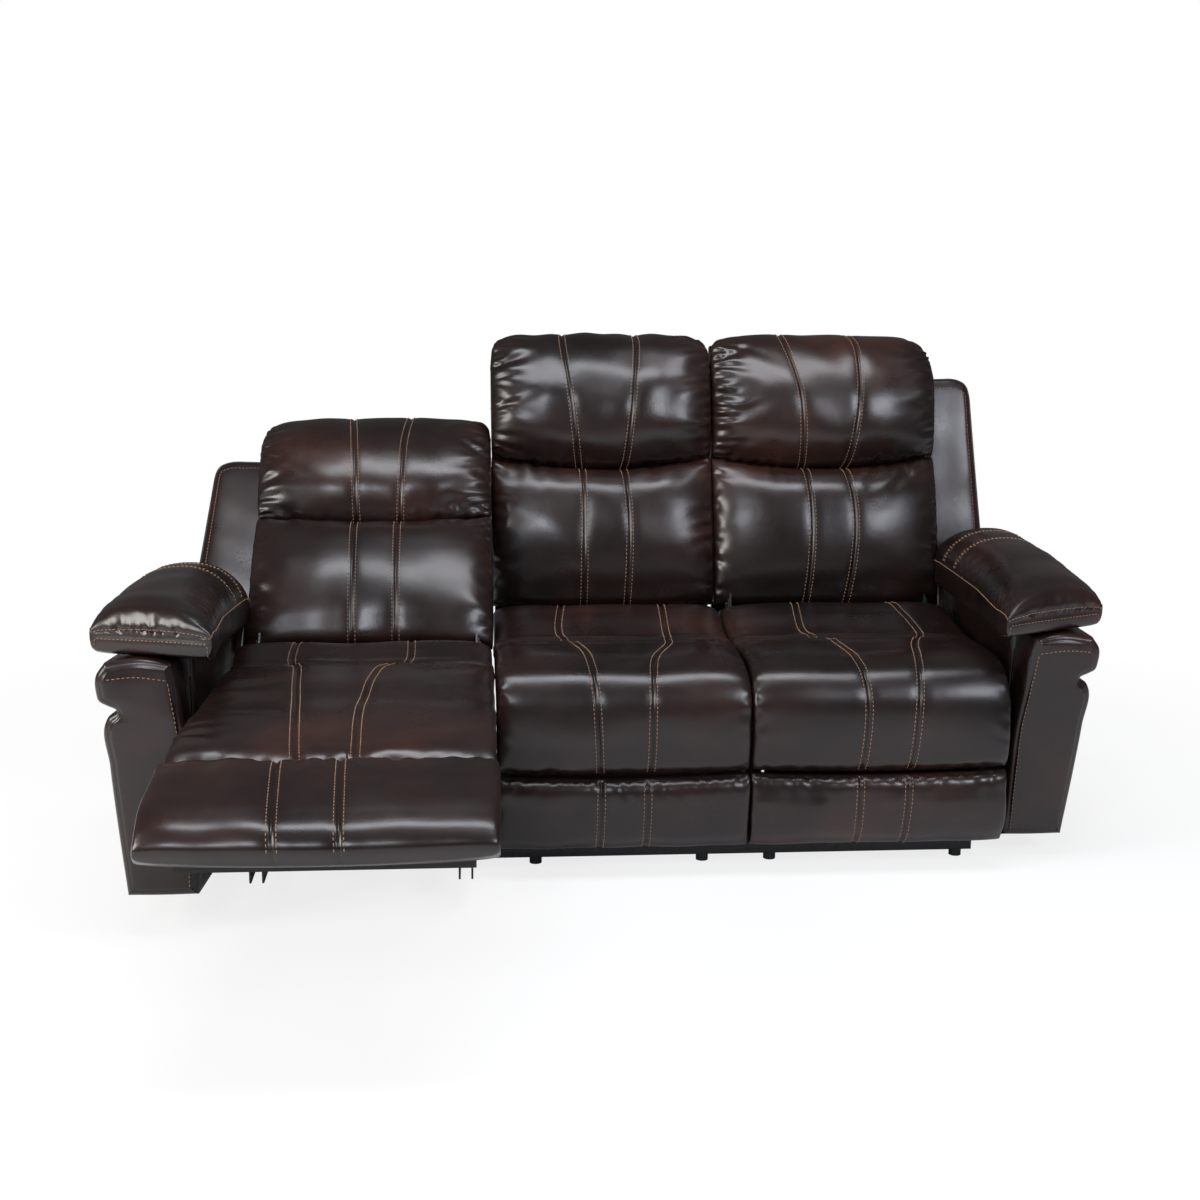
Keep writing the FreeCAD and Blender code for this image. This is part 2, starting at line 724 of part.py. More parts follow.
def end_seat():
    """Every node of an end seat on the +X side, closed: name, body and shape."""
    a, b = frame_inner, frame_outer
    board = foot_board(a, b)
    lug_x = []
    for x, way in link_planes():
        lug_x.append(min(x - way * (2 * seat_gap + link_t), x - way * (2 * seat_gap + 2 * link_t)))
    lugs = foot_brackets(lug_x)
    for x, way in link_planes():
        ends = sorted((x - way * seat_gap, x - way * (2 * seat_gap + 2 * link_t)))
        lugs.append(rod(pin_r, foot_pin, ends[0], ends[1]))
    board = board.fuse(lugs).removeSplitter()
    return [
        ("carriage", "carriage", carriage()),
        ("side_plates", "chassis", side_plates()),
        ("arm_panel", "chassis", arm_panel()),
        ("arm_pillow", "chassis", arm_pillow()),
        ("seat_frame", "seat", seat_frame(a, b, seat_frame_low)),
        ("seat_springs", "seat", seat_springs(a, b, seat_frame_low)),
        ("seat_deck", "seat", seat_deck(a, b, seat_frame_low)),
        ("seat_cushion", "seat", seat_cushion(unit_inner, unit_outer, seat_frame_low)),
        ("link_hangers", "seat", link_hangers()),
        ("chaise_pad", "chaise", chaise_pad(unit_inner, unit_outer)),
        ("footrest_board", "footrest", board),
        ("footrest_pad", "footrest", foot_pad(*foot_pad_x)),
        ("rear_links", "rear_links", rear_links()),
        ("front_links", "front_links", front_links()),
        ("back_board", "back", back_board(a, b)),
        ("back_brackets", "back", back_brackets(a, b)),
        ("lower_back_pad", "back", lower_back_pad(unit_inner, unit_outer)),
        ("headrest_pad", "back", headrest_pad(unit_inner, unit_outer)),
        ("back_wing", "back", back_wing()),
        ("outer_back", "back", outer_back(end_cover_points())),
        ("release_lever", "lever", release_lever()),
    ]


def middle_seat():
    m = middle_half
    f = m - 3
    cover = [(-m + 8, cover_foot), (m - 8, cover_foot), (m - 12, cover_head), (-m + 12, cover_head)]
    return [
        ("middle_sides", middle_sides()),
        ("middle_front_board", middle_front_board()),
        ("middle_seat_frame", seat_frame(-f, f, seat_frame_low)),
        ("middle_seat_springs", seat_springs(-f, f, seat_frame_low)),
        ("middle_seat_cushion", seat_cushion(-m, m, seat_frame_low)),
        ("middle_chaise_pad", chaise_pad(-m, m)),
        ("middle_front_panel", middle_panel(-m, m)),
        ("middle_back_board", back_board(-f, f)),
        ("middle_lower_back_pad", lower_back_pad(-m, m)),
        ("middle_headrest_pad", headrest_pad(-m, m)),
        ("middle_back_brackets", middle_brackets(f)),
        ("middle_outer_back", outer_back(cover)),
    ]


def base():
    return [
        ("floor_glides", floor_glides()),
        ("base_front_rail", base_rail(base_front_y)),
        ("base_rear_rail", base_rail(base_rear_y)),
        ("base_cross_rails", cross_rails()),
        ("base_bolts", base_bolts()),
        ("slide_tracks", slide_tracks()),
    ]


at_rest = {"left": 1.0, "right": 0.0}


def all_nodes():
    nodes = dict(base() + middle_seat())
    for name, body, shape in end_seat():
        for side in ("left", "right"):
            piece = shape.copy()
            if side == "left":
                piece = piece.mirror(V(0, 0, 0), V(1, 0, 0))
            at = seat_places(at_rest[side], at_rest[side])[body]
            piece.Placement = at.multiply(piece.Placement)
            nodes[side + "_" + name] = piece
    return nodes


def centre_shift(nodes):
    """Moves the finished sofa so that its box is centred front to back."""
    spans = [shape.BoundBox for shape in nodes.values()]
    return -(min(s.YMin for s in spans) + max(s.YMax for s in spans)) / 2


if __name__ == "__main__":
    os.makedirs("parts", exist_ok=True)
    made = all_nodes()
    shift = centre_shift(made)
    for node, shape in sorted(made.items()):
        shape.translate(V(0, shift, 0))
        bad = [s for s in shape.Solids if not s.isValid()]
        print(node, len(shape.Solids), round(shape.Volume / 1e6, 3), "BAD" if bad else "")
        shape.exportStep("parts/" + node + ".step")
    print("nodes", len(made), "shift", round(shift, 3))
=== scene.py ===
import math
import random
import bpy
import bmesh
import numpy as np
from mathutils import Matrix, Vector


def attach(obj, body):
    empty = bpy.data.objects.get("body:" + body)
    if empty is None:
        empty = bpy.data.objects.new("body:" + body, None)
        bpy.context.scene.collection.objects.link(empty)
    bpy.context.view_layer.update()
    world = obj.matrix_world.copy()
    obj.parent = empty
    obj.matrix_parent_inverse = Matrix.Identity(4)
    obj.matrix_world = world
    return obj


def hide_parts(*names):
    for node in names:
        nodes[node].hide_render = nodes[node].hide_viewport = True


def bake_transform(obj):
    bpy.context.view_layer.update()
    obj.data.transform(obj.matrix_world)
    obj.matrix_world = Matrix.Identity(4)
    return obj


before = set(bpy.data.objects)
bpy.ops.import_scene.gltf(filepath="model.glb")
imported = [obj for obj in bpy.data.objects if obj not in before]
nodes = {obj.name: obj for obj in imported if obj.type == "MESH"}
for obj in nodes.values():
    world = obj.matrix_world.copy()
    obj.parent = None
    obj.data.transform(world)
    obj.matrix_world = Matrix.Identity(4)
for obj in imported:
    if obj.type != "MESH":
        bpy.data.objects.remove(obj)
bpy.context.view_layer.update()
print("frame loaded:", len(nodes), "nodes")

# Where an open seat's bodies stand, from the closed seat: turn in degrees, then Y and Z
openPlace = {
    "chassis": (-6.1, -0.33424, 0.03893),
    "seat": (-6.1, -0.44859, 0.05115),
    "back": (-30.5, -0.44201, 0.32553),
}
rowShift = 0.09373  # from the sofa's layout to the frame, along Y


def toOpen(body, y, z):
    turn, dy, dz = openPlace[body]
    c, s = math.cos(math.radians(turn)), math.sin(math.radians(turn))
    return c * y - s * z + dy, s * y + c * z + dz


def closedPlace(x, y, z):
    return x, y + rowShift, z


# Layout coordinates to the frame, mirrored and opened for the left seat
def layoutPlace(side, body):
    def place(x, y, z):
        y = y + rowShift
        if side == "left":
            y, z = toOpen(body, y, z)
            x = -x
        return x, y, z
    return place


backFrame = {"footY": 0.443, "footZ": 0.481, "lean": 14.7}


# x, height up the back and depth to the rear, to the frame
def backPlace(side):
    a = math.radians(backFrame["lean"])
    put = layoutPlace(side, "back")

    def place(x, v, w):
        y = backFrame["footY"] + v * math.sin(a) + w * math.cos(a)
        z = backFrame["footZ"] + v * math.cos(a) - w * math.sin(a)
        return put(x, y, z)
    return place


# Smooth curve through the points, as a dense table over their index
def curveTable(points, fine=60):
    p = np.array(points, float)
    d = np.maximum(np.linalg.norm(np.diff(p, axis=0), axis=1), 1e-6)
    speed = np.zeros_like(p)
    slope = np.diff(p, axis=0) / d[:, None]
    speed[0], speed[-1] = slope[0], slope[-1]
    for i in range(1, len(p) - 1):
        speed[i] = (slope[i - 1] * d[i] + slope[i] * d[i - 1]) / (d[i - 1] + d[i])
    rows = []
    for i in range(len(p) - 1):
        t = np.linspace(0, 1, fine, endpoint=False)[:, None]
        rows.append((2 * t ** 3 - 3 * t ** 2 + 1) * p[i] + (t ** 3 - 2 * t ** 2 + t) * d[i] * speed[i]
                    + (3 * t ** 2 - 2 * t ** 3) * p[i + 1] + (t ** 3 - t ** 2) * d[i] * speed[i + 1])
    rows.append(p[-1:])
    return np.vstack(rows)


def arcLength(p):
    return np.concatenate([[0.0], np.cumsum(np.linalg.norm(np.diff(p, axis=0), axis=1))])


# Rows of a table at the distances s
def pick(table, at, s):
    return np.stack([np.interp(s, at, table[:, k]) for k in range(table.shape[1])], axis=-1)


def meshObject(name, verts, faces, material, smooth=True, weld=0.0):
    mesh = bpy.data.meshes.new(name)
    mesh.from_pydata([tuple(v) for v in verts], [], faces)
    bm = bmesh.new()
    bm.from_mesh(mesh)
    if weld:
        bmesh.ops.remove_doubles(bm, verts=bm.verts, dist=weld)
    bmesh.ops.recalc_face_normals(bm, faces=bm.faces)
    bm.to_mesh(mesh)
    bm.free()
    if smooth:
        mesh.polygons.foreach_set("use_smooth", [True] * len(mesh.polygons))
    mesh.materials.append(material)
    obj = bpy.data.objects.new(name, mesh)
    bpy.context.scene.collection.objects.link(obj)
    return obj


# Normals of a grid of points
def gridNormals(g):
    a = np.gradient(g, axis=0)
    b = np.gradient(g, axis=1)
    n = np.cross(a, b)
    size = np.linalg.norm(n, axis=-1, keepdims=True)
    return n / np.maximum(size, 1e-9)


# Gathers that run from a seam into the leather: height lost at each point
def folds(along, away, rule):
    rng = random.Random(rule["seed"])
    low, high = rule["span"]
    out = np.zeros_like(along)
    for i in range(rule["count"]):
        at = low + (high - low) * (i + rng.uniform(0.15, 0.85)) / rule["count"]
        reach = rule["length"] * rng.uniform(0.45, 1.25)
        depth = rule["depth"] * rng.uniform(0.35, 1.0)
        wide = rule["width"] * rng.uniform(0.6, 1.3)
        lean = rng.uniform(-0.35, 0.35)
        bend = rng.uniform(-3.0, 3.0)
        line = at + lean * away + bend * away ** 2
        spread = wide * (0.7 + 1.2 * np.minimum(away / reach, 2.0))
        q = (along - line) / spread
        fall = np.exp(-(away / reach) ** 1.6)
        out -= depth * fall * (np.exp(-q ** 2) - 0.35 * np.exp(-((np.abs(q) - 1.6) ** 2)))
    return out


# One row of gathers: the edge it starts at, and how far along that edge it runs
def gather(edge, count, length, depth, width, low, high, way=0):
    return {"from": edge, "way": way, "count": count, "length": length, "depth": depth, "width": width,
            "span": (low, high)}


# Slow unevenness of stuffed leather
def swell(x, s, seed, size, height):
    rng = random.Random(seed)
    out = np.zeros_like(x)
    for i in range(7):
        a = rng.uniform(0, math.pi)
        k = 2 * math.pi / (size * rng.uniform(0.6, 1.6))
        out += rng.uniform(0.3, 1.0) * np.sin(k * (x * math.cos(a) + s * math.sin(a)) + rng.uniform(0, 6.28))
    return out * height / 3.0


def newMaterial(name):
    m = bpy.data.materials.new(name)
    m.use_nodes = True
    return m, m.node_tree.nodes, m.node_tree.links, m.node_tree.nodes["Principled BSDF"]


leatherLook = {
    "dark": (0.0058, 0.0034, 0.0030, 1), "brown": (0.0150, 0.0070, 0.0054, 1),
    "red": (0.0360, 0.0130, 0.0088, 1), "smudgeTone": (0.45, 0.42, 0.42, 1), "clear": (1, 1, 1, 1),
    "patch": 3.4, "smudge": 15.0, "smudgeShare": 0.35, "grain": 520.0,
    "gloss": 0.25, "dull": 0.37, "grainDepth": 0.00016, "creaseDepth": 0.0004,
}


def leatherMaterial(name):
    look = leatherLook
    m, n, l, b = newMaterial(name)
    where = n.new("ShaderNodeTexCoord")

    def noise(scale, detail, rough=0.55):
        t = n.new("ShaderNodeTexNoise")
        t.inputs["Scale"].default_value = scale
        t.inputs["Detail"].default_value = detail
        t.inputs["Roughness"].default_value = rough
        l.new(where.outputs["Object"], t.inputs["Vector"])
        return t

    def ramp(source, stops):
        r = n.new("ShaderNodeValToRGB")
        r.color_ramp.elements[0].position, r.color_ramp.elements[0].color = stops[0]
        r.color_ramp.elements[1].position, r.color_ramp.elements[1].color = stops[-1]
        for at, colour in stops[1:-1]:
            r.color_ramp.elements.new(at).color = colour
        l.new(source, r.inputs["Fac"])
        return r

    patches = ramp(noise(look["patch"], 4).outputs["Fac"],
                   [(0.34, look["dark"]), (0.54, look["brown"]), (0.74, look["red"])])
    smudges = ramp(noise(look["smudge"], 6, 0.65).outputs["Fac"],
                   [(0.35, look["smudgeTone"]), (0.7, look["clear"])])
    mix = n.new("ShaderNodeMix")
    mix.data_type, mix.blend_type = "RGBA", "MULTIPLY"
    mix.inputs["Factor"].default_value = look["smudgeShare"]
    l.new(patches.outputs["Color"], mix.inputs[6])
    l.new(smudges.outputs["Color"], mix.inputs[7])
    l.new(mix.outputs[2], b.inputs["Base Color"])

    wear = ramp(noise(look["smudge"] * 0.6, 5).outputs["Fac"],
                [(0.3, (look["gloss"],) * 3 + (1,)), (0.75, (look["dull"],) * 3 + (1,))])
    l.new(wear.outputs["Color"], b.inputs["Roughness"])
    b.inputs["Specular IOR Level"].default_value = 0.38
    b.inputs["Coat Weight"].default_value = 0.10
    b.inputs["Coat Roughness"].default_value = 0.20

    cells = n.new("ShaderNodeTexVoronoi")
    cells.feature = "DISTANCE_TO_EDGE"
    cells.inputs["Scale"].default_value = look["grain"]
    l.new(where.outputs["Object"], cells.inputs["Vector"])
    grain = n.new("ShaderNodeBump")
    grain.inputs["Strength"].default_value = 0.35
    grain.inputs["Distance"].default_value = look["grainDepth"]
    l.new(cells.outputs["Distance"], grain.inputs["Height"])
    soft = n.new("ShaderNodeBump")
    soft.inputs["Strength"].default_value = 0.6
    soft.inputs["Distance"].default_value = look["creaseDepth"]
    l.new(noise(60.0, 3).outputs["Fac"], soft.inputs["Height"])
    l.new(grain.outputs["Normal"], soft.inputs["Normal"])
    l.new(soft.outputs["Normal"], b.inputs["Normal"])
    return m


# Painted steel, plastic, wood and thread: two tones, worn gloss and a fine relief
def plainMaterial(name, dark, light, rough, scale, metal=0.0, depth=0.0003, stretch=(1, 1, 1)):
    m, n, l, b = newMaterial(name)
    where = n.new("ShaderNodeTexCoord")
    scaled = n.new("ShaderNodeMapping")
    scaled.inputs["Scale"].default_value = stretch
    l.new(where.outputs["Object"], scaled.inputs["Vector"])
    t = n.new("ShaderNodeTexNoise")
    t.inputs["Scale"].default_value = scale
    t.inputs["Detail"].default_value = 5
    l.new(scaled.outputs["Vector"], t.inputs["Vector"])
    r = n.new("ShaderNodeValToRGB")
    r.color_ramp.elements[0].position, r.color_ramp.elements[0].color = 0.35, (*dark, 1)
    r.color_ramp.elements[1].position, r.color_ramp.elements[1].color = 0.68, (*light, 1)
    l.new(t.outputs["Fac"], r.inputs["Fac"])
    l.new(r.outputs["Color"], b.inputs["Base Color"])
    g = n.new("ShaderNodeMapRange")
    g.inputs["To Min"].default_value = rough * 0.8
    g.inputs["To Max"].default_value = min(rough * 1.25, 1.0)
    l.new(t.outputs["Fac"], g.inputs["Value"])
    l.new(g.outputs["Result"], b.inputs["Roughness"])
    b.inputs["Metallic"].default_value = metal
    bump = n.new("ShaderNodeBump")
    bump.inputs["Strength"].default_value = 0.5
    bump.inputs["Distance"].default_value = depth
    l.new(t.outputs["Fac"], bump.inputs["Height"])
    l.new(bump.outputs["Normal"], b.inputs["Normal"])
    return m


brownLeather = leatherMaterial("espressoLeather")
tanThread = plainMaterial("tanThread", (0.13, 0.070, 0.040), (0.30, 0.175, 0.105), 0.65, scale=900,
                          depth=0.0004)
blackSteel = plainMaterial("blackSteel", (0.006, 0.006, 0.007), (0.016, 0.016, 0.018), 0.42, scale=90,
                           metal=0.3)
springSteel = plainMaterial("springSteel", (0.16, 0.16, 0.17), (0.32, 0.32, 0.34), 0.35, scale=60, metal=0.9)
boltSteel = plainMaterial("boltSteel", (0.10, 0.10, 0.11), (0.2, 0.2, 0.21), 0.4, scale=160, metal=0.9)
plywood = plainMaterial("plywood", (0.30, 0.19, 0.10), (0.47, 0.33, 0.20), 0.65, scale=9, depth=0.0004,
                        stretch=(1, 6, 14))
glidePlastic = plainMaterial("glidePlastic", (0.008, 0.008, 0.008), (0.02, 0.02, 0.02), 0.5, scale=120)
leverPlastic = plainMaterial("leverPlastic", (0.010, 0.008, 0.008), (0.024, 0.02, 0.018), 0.38, scale=200)
deckCloth = plainMaterial("deckCloth", (0.012, 0.011, 0.011), (0.028, 0.026, 0.025), 0.9, scale=700,
                          depth=0.0008)
print("materials ready")


# A long seam: its own dip, the channel around it, and the pucker under the stitched rows
seamCut = {
    "depth": 0.0026, "width": 0.0022, "channelDepth": 0.0022, "channelWidth": 0.013,
    "row": 0.0076, "pucker": 0.00035, "puckerPitch": 0.009, "puckerWidth": 0.003,
}


# One stuffed pad. s["line"] holds the front, edge and rear point of each station
def makePad(name, s, place, seed=0):
    table = {k: curveTable([row[i] for row in s["line"]]) for i, k in enumerate(("front", "edge", "rear"))}
    at = arcLength(table["front"])
    full = at[-1]
    step = s.get("step", 0.0055)
    rows = np.linspace(0, full, int(full / step) + 1)
    close = np.linspace(0, 0.012, 5)  # closer rows where the pad turns under
    rows = np.unique(np.round(np.concatenate([rows, close, full - close]), 5))
    rows = np.minimum(rows, full)
    half = (s["x1"] - s["x0"]) / 2
    mid = (s["x1"] + s["x0"]) / 2
    power, under = s["power"], s.get("under", 7.0)

    # columns: even along the crowned section, closer where the seams run
    t = np.linspace(0, math.pi / 2, 400)
    edgeX, edgeH = np.sin(t) ** (2 / power), np.cos(t) ** (2 / power)
    lengthwise = arcLength(np.stack([edgeX * half, edgeH * 0.07], -1))
    count = int(lengthwise[-1] / step)
    side = np.interp(np.linspace(0, lengthwise[-1], count), lengthwise, edgeX)
    cols = np.concatenate([-side[::-1], side[1:]])
    seams = s.get("seams", [])
    seamRef = [float(np.mean([x for _, x in line])) for line in seams]
    offsets = np.array([0, 0.0014, 0.003, 0.0052, 0.0076, 0.0100, 0.0135]) / half
    for r in seamRef:
        cols = cols[np.abs(cols - r) > offsets[-1] * 1.2]
        cols = np.concatenate([cols, r + offsets, r - offsets[1:]])
    cols = np.unique(np.round(cols, 6))
    tracked = np.tile(cols, (len(rows), 1))
    share = rows / full
    if seams:
        lines = []
        for line in seams:
            drawn = curveTable(line)
            lines.append(np.interp(share, arcLength(drawn[:, :1]) + line[0][0], drawn[:, 1]))
        for j in range(len(rows)):
            knots = sorted(zip([-1.0] + seamRef + [1.0], [-1.0] + [line[j] for line in lines] + [1.0]))
            moved = np.interp(cols, [k[0] for k in knots], [k[1] for k in knots])
            for r, line in zip(seamRef, lines):  # keep the seam's own columns at their true spacing
                near = np.abs(cols - r) <= offsets[-1] * 1.01
                moved[near] = line[j] + cols[near] - r
            tracked[j] = np.maximum.accumulate(moved)
    crown = np.maximum(1 - np.abs(tracked) ** power, 0) ** (1 / power)
    crown[:, 0] = crown[:, -1] = 0

    # half width along the pad: rounded corners and drawn-in sides
    widths = np.full(len(rows), half) - s["pull"] * np.maximum(np.sin(math.pi * share), 0) ** 0.5
    for r, away in zip(s["corner"], (rows, full - rows)):
        if r:
            d = np.clip(away / r, 0, 1)
            widths -= r * (1 - np.sqrt(np.maximum(1 - (1 - d) ** 2, 0)))
    widths = np.tile(widths[:, None], (1, len(cols)))
    for key, part in (("flareLeft", tracked < 0), ("flareRight", tracked >= 0)):
        if key in s:
            widths += np.where(part, np.interp(share, *zip(*s[key]))[:, None], 0)
    x = mid + tracked * widths

    sAt = np.tile(rows[:, None], (1, len(cols)))
    for c in s.get("crossSeams", []):
        sAt = sAt + c["sag"] * (1 - tracked ** 2) * np.exp(-((sAt - c["at"] * full) / 0.07) ** 2)
    sAt = np.clip(sAt, 0, full)
    front, edge, rear = (pick(table[k], at, sAt) for k in ("front", "edge", "rear"))
    face = edge + (front - edge) * crown[..., None]
    bottom = np.maximum(1 - np.abs(tracked) ** under, 0) ** (1 / under)
    back = edge + (rear - edge) * bottom[..., None]

    spine = front[:, len(cols) // 2]  # the ends sag or rise across the pad
    inside = int(np.searchsorted(rows, min(s.get("bowOver", 0.05), full * 0.9)))
    ways = (spine[inside] - spine[0], spine[-1] - spine[-1 - inside])
    for bow, weight, way in zip(s.get("bow", (0, 0)), (1 - share, share), ways):
        shift = bow * (1 - tracked ** 2) * (weight[:, None] ** 2)
        face = face + shift[..., None] * way / np.linalg.norm(way)
        back = back + shift[..., None] * way / np.linalg.norm(way)

    # relief on the face
    cut = seamCut
    u = tracked * widths
    inner = np.minimum(np.minimum(sAt, full - sAt) / 0.03, 1) * np.minimum(crown / 0.5, 1)
    lift = swell(x, sAt, seed + 11, s.get("swellSize", 0.16), s["swell"]) * inner
    for k, r in enumerate(seamRef):
        d = (tracked - lines[k][:, None]) * widths
        lift -= cut["depth"] * np.exp(-(d / cut["width"]) ** 2) * np.minimum(inner * 1.5, 1)
        lift -= cut["channelDepth"] * np.exp(-(d / cut["channelWidth"]) ** 2) * inner
        pucker = (np.sin(sAt * 2 * math.pi / cut["puckerPitch"])
                  * np.exp(-((np.abs(d) - cut["row"]) / cut["puckerWidth"]) ** 2))
        lift += cut["pucker"] * pucker * inner
    for c in s.get("crossSeams", []):
        d = sAt - c["at"] * full - c["sag"] * (1 - tracked ** 2)
        lift -= (c["depth"] * np.exp(-(np.abs(d) / c["width"]) ** 1.4)
                 * np.minimum((1 - np.abs(tracked)) / 0.03, 1))
        lift += c["roll"] * np.exp(-((np.abs(d) - c["width"] * 2.4) / (c["width"] * 1.6)) ** 2)
    edges = {"left": (sAt, half + u), "right": (sAt, half - u), "start": (u, sAt), "end": (u, full - sAt)}
    for k, rule in enumerate(s.get("gathers", [])):
        if rule["from"] in edges:
            a, away = edges[rule["from"]]
        else:
            a, away = u, np.abs(sAt - rule["from"] * full)
            if rule["way"]:
                away = np.where((sAt - rule["from"] * full) * rule["way"] > 0, away, 1.0)
        scale = full if rule["from"] in ("left", "right") else half
        local = dict(rule, seed=seed * 101 + k, span=(rule["span"][0] * scale, rule["span"][1] * scale))
        fade = np.minimum(away / 0.006, 1)
        lift += folds(a, np.maximum(away, 0), local) * fade
    for dent in s.get("dents", []):
        across, down = (tracked - dent["x"]) / dent["wide"], (share[:, None] - dent["s"]) / dent["long"]
        lift -= dent["depth"] * np.exp(-across ** 2 - down ** 2)

    # through the piece's own frame
    def put(g, px):
        flat = np.array([place(a, b, c) for a, b, c in zip(px.ravel(), g[..., 0].ravel(), g[..., 1].ravel())])
        return flat.reshape(*px.shape, 3)
    faceAt, backAt = put(face, x), put(back, x)
    normal = gridNormals(faceAt)
    outward = np.sum((faceAt - backAt) * normal) > 0
    normal = normal if outward else -normal
    smooth = normal.copy()
    for _ in range(2):
        smooth[1:-1] = (smooth[:-2] + smooth[1:-1] * 2 + smooth[2:]) / 4
    smooth /= np.maximum(np.linalg.norm(smooth, axis=-1, keepdims=True), 1e-9)
    rim = np.minimum(np.minimum(crown / 0.25, 1), np.minimum(np.minimum(sAt, full - sAt) / 0.004, 1))
    faceAt = faceAt + smooth * (lift * rim)[..., None]

    # the rear shares the face's two side columns and takes its own points for all the rest
    r, c = len(rows), len(cols)
    index = np.arange(r * c).reshape(r, c)
    verts = list(faceAt.reshape(-1, 3))
    faces = [(index[i, j], index[i, j + 1], index[i + 1, j + 1], index[i + 1, j])
             for i in range(r - 1) for j in range(c - 1)]
    rearIndex = np.full((r, c), -1)
    rearIndex[:, 0], rearIndex[:, -1] = index[:, 0], index[:, -1]
    for i in range(r):
        for j in range(1, c - 1):
            rearIndex[i, j] = len(verts)
            verts.append(backAt[i, j])
    faces += [(rearIndex[i, j], rearIndex[i + 1, j], rearIndex[i + 1, j + 1], rearIndex[i, j + 1])
              for i in range(r - 1) for j in range(c - 1)]
    for i in (0, r - 1):
        faces += [(index[i, j], index[i, j + 1], rearIndex[i, j + 1], rearIndex[i, j]) for j in range(1, c - 2)]
        faces += [(index[i, 0], index[i, 1], rearIndex[i, 1]),
                  (index[i, c - 1], index[i, c - 2], rearIndex[i, c - 2])]
    obj = meshObject(name, verts, faces, brownLeather, weld=0.00002)
    return obj, {"face": faceAt, "back": backAt, "normal": smooth, "cols": cols, "rows": rows,
                 "full": full, "half": half, "seamRef": seamRef}


# The stitched rows beside each long seam: points and normals
def seamRows(info, skip):
    out = []
    keep = (info["rows"] >= skip[0]) & (info["rows"] <= info["full"] - skip[1])
    for r in info["seamRef"]:
        for side in (-1, 1):
            j = int(np.argmin(np.abs(info["cols"] - (r + side * seamCut["row"] / info["half"]))))
            out.append((info["face"][keep, j], info["normal"][keep, j]))
    return out


stitchSize = {  # shape: place along the thread, thickness and height, as shares
    "pitch": 0.0088, "length": 0.0066, "radius": 0.00085, "lift": 0.0002, "around": 6,
    "shape": [(-0.5, 0.25, -1.6), (-0.38, 0.85, -0.2), (-0.15, 1.0, 0.75),
              (0.15, 1.0, 0.75), (0.38, 0.85, -0.2), (0.5, 0.25, -1.6)],
}


# Rows of single stitches: each a short thread that dips into the leather at both ends
def makeStitches(name, lines):
    size = stitchSize
    shape, around = size["shape"], size["around"]
    verts, faces = [], []
    for points, normals in lines:
        at = arcLength(points)
        if at[-1] < size["pitch"] * 2:
            continue
        n = int(at[-1] / size["pitch"])
        for k in range(n):
            centre = (k + 0.5) * at[-1] / n
            start = len(verts)
            where = np.clip(centre + np.array([f for f, _, _ in shape]) * size["length"], 0, at[-1])
            c = pick(points, at, where)
            up = pick(normals, at, where)
            way = np.gradient(c, axis=0)
            way /= np.maximum(np.linalg.norm(way, axis=1, keepdims=True), 1e-9)
            sideways = np.cross(way, up)
            sideways /= np.maximum(np.linalg.norm(sideways, axis=1, keepdims=True), 1e-9)
            for i, (_, thick, lift) in enumerate(shape):
                middle = c[i] + up[i] * (size["lift"] + lift * size["radius"])
                for a in range(around):
                    t = 2 * math.pi * a / around
                    reach = math.cos(t) * sideways[i] + math.sin(t) * up[i]
                    verts.append(middle + size["radius"] * thick * reach)
            for i in range(len(shape) - 1):
                for a in range(around):
                    b = (a + 1) % around
                    q = start + i * around
                    faces.append((q + a, q + b, q + around + b, q + around + a))
            faces.append(tuple(range(start + around - 1, start - 1, -1)))
            faces.append(tuple(range(start + (len(shape) - 1) * around, start + len(shape) * around)))
    return meshObject(name, verts, faces, tanThread)


def finishPiece(obj, body, fill=None, stands=(), blend=None):
    if blend:
        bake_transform(obj)
    else:
        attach(obj, body)
    if stands:
        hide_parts(*stands)
    return obj


boxedSwell = 0.14  # size of the slow unevenness on boxed pieces


def rectangle(x0, z0, x1, z1):
    return [[(x0, z0), (x1, z0)], [(x1, z0), (x1, z1)], [(x0, z1), (x1, z1)], [(x0, z0), (x0, z1)]]


def sideCurve(points, count, bend):
    table = curveTable(points) if bend else np.array(points, float)
    at = arcLength(table)
    return pick(table, at, np.linspace(0, at[-1], count))


# Grid between four sides; bottom and top run with x, left and right run up
def coons(bottom, right, top, left):
    u = np.linspace(0, 1, len(bottom))[None, :, None]
    v = np.linspace(0, 1, len(left))[:, None, None]
    ruled = (1 - v) * bottom[None] + v * top[None] + (1 - u) * left[:, None] + u * right[:, None]
    low = (1 - u) * (1 - v) * bottom[0] + u * (1 - v) * bottom[-1]
    return ruled - (low + (1 - u) * v * top[0] + u * v * top[-1])


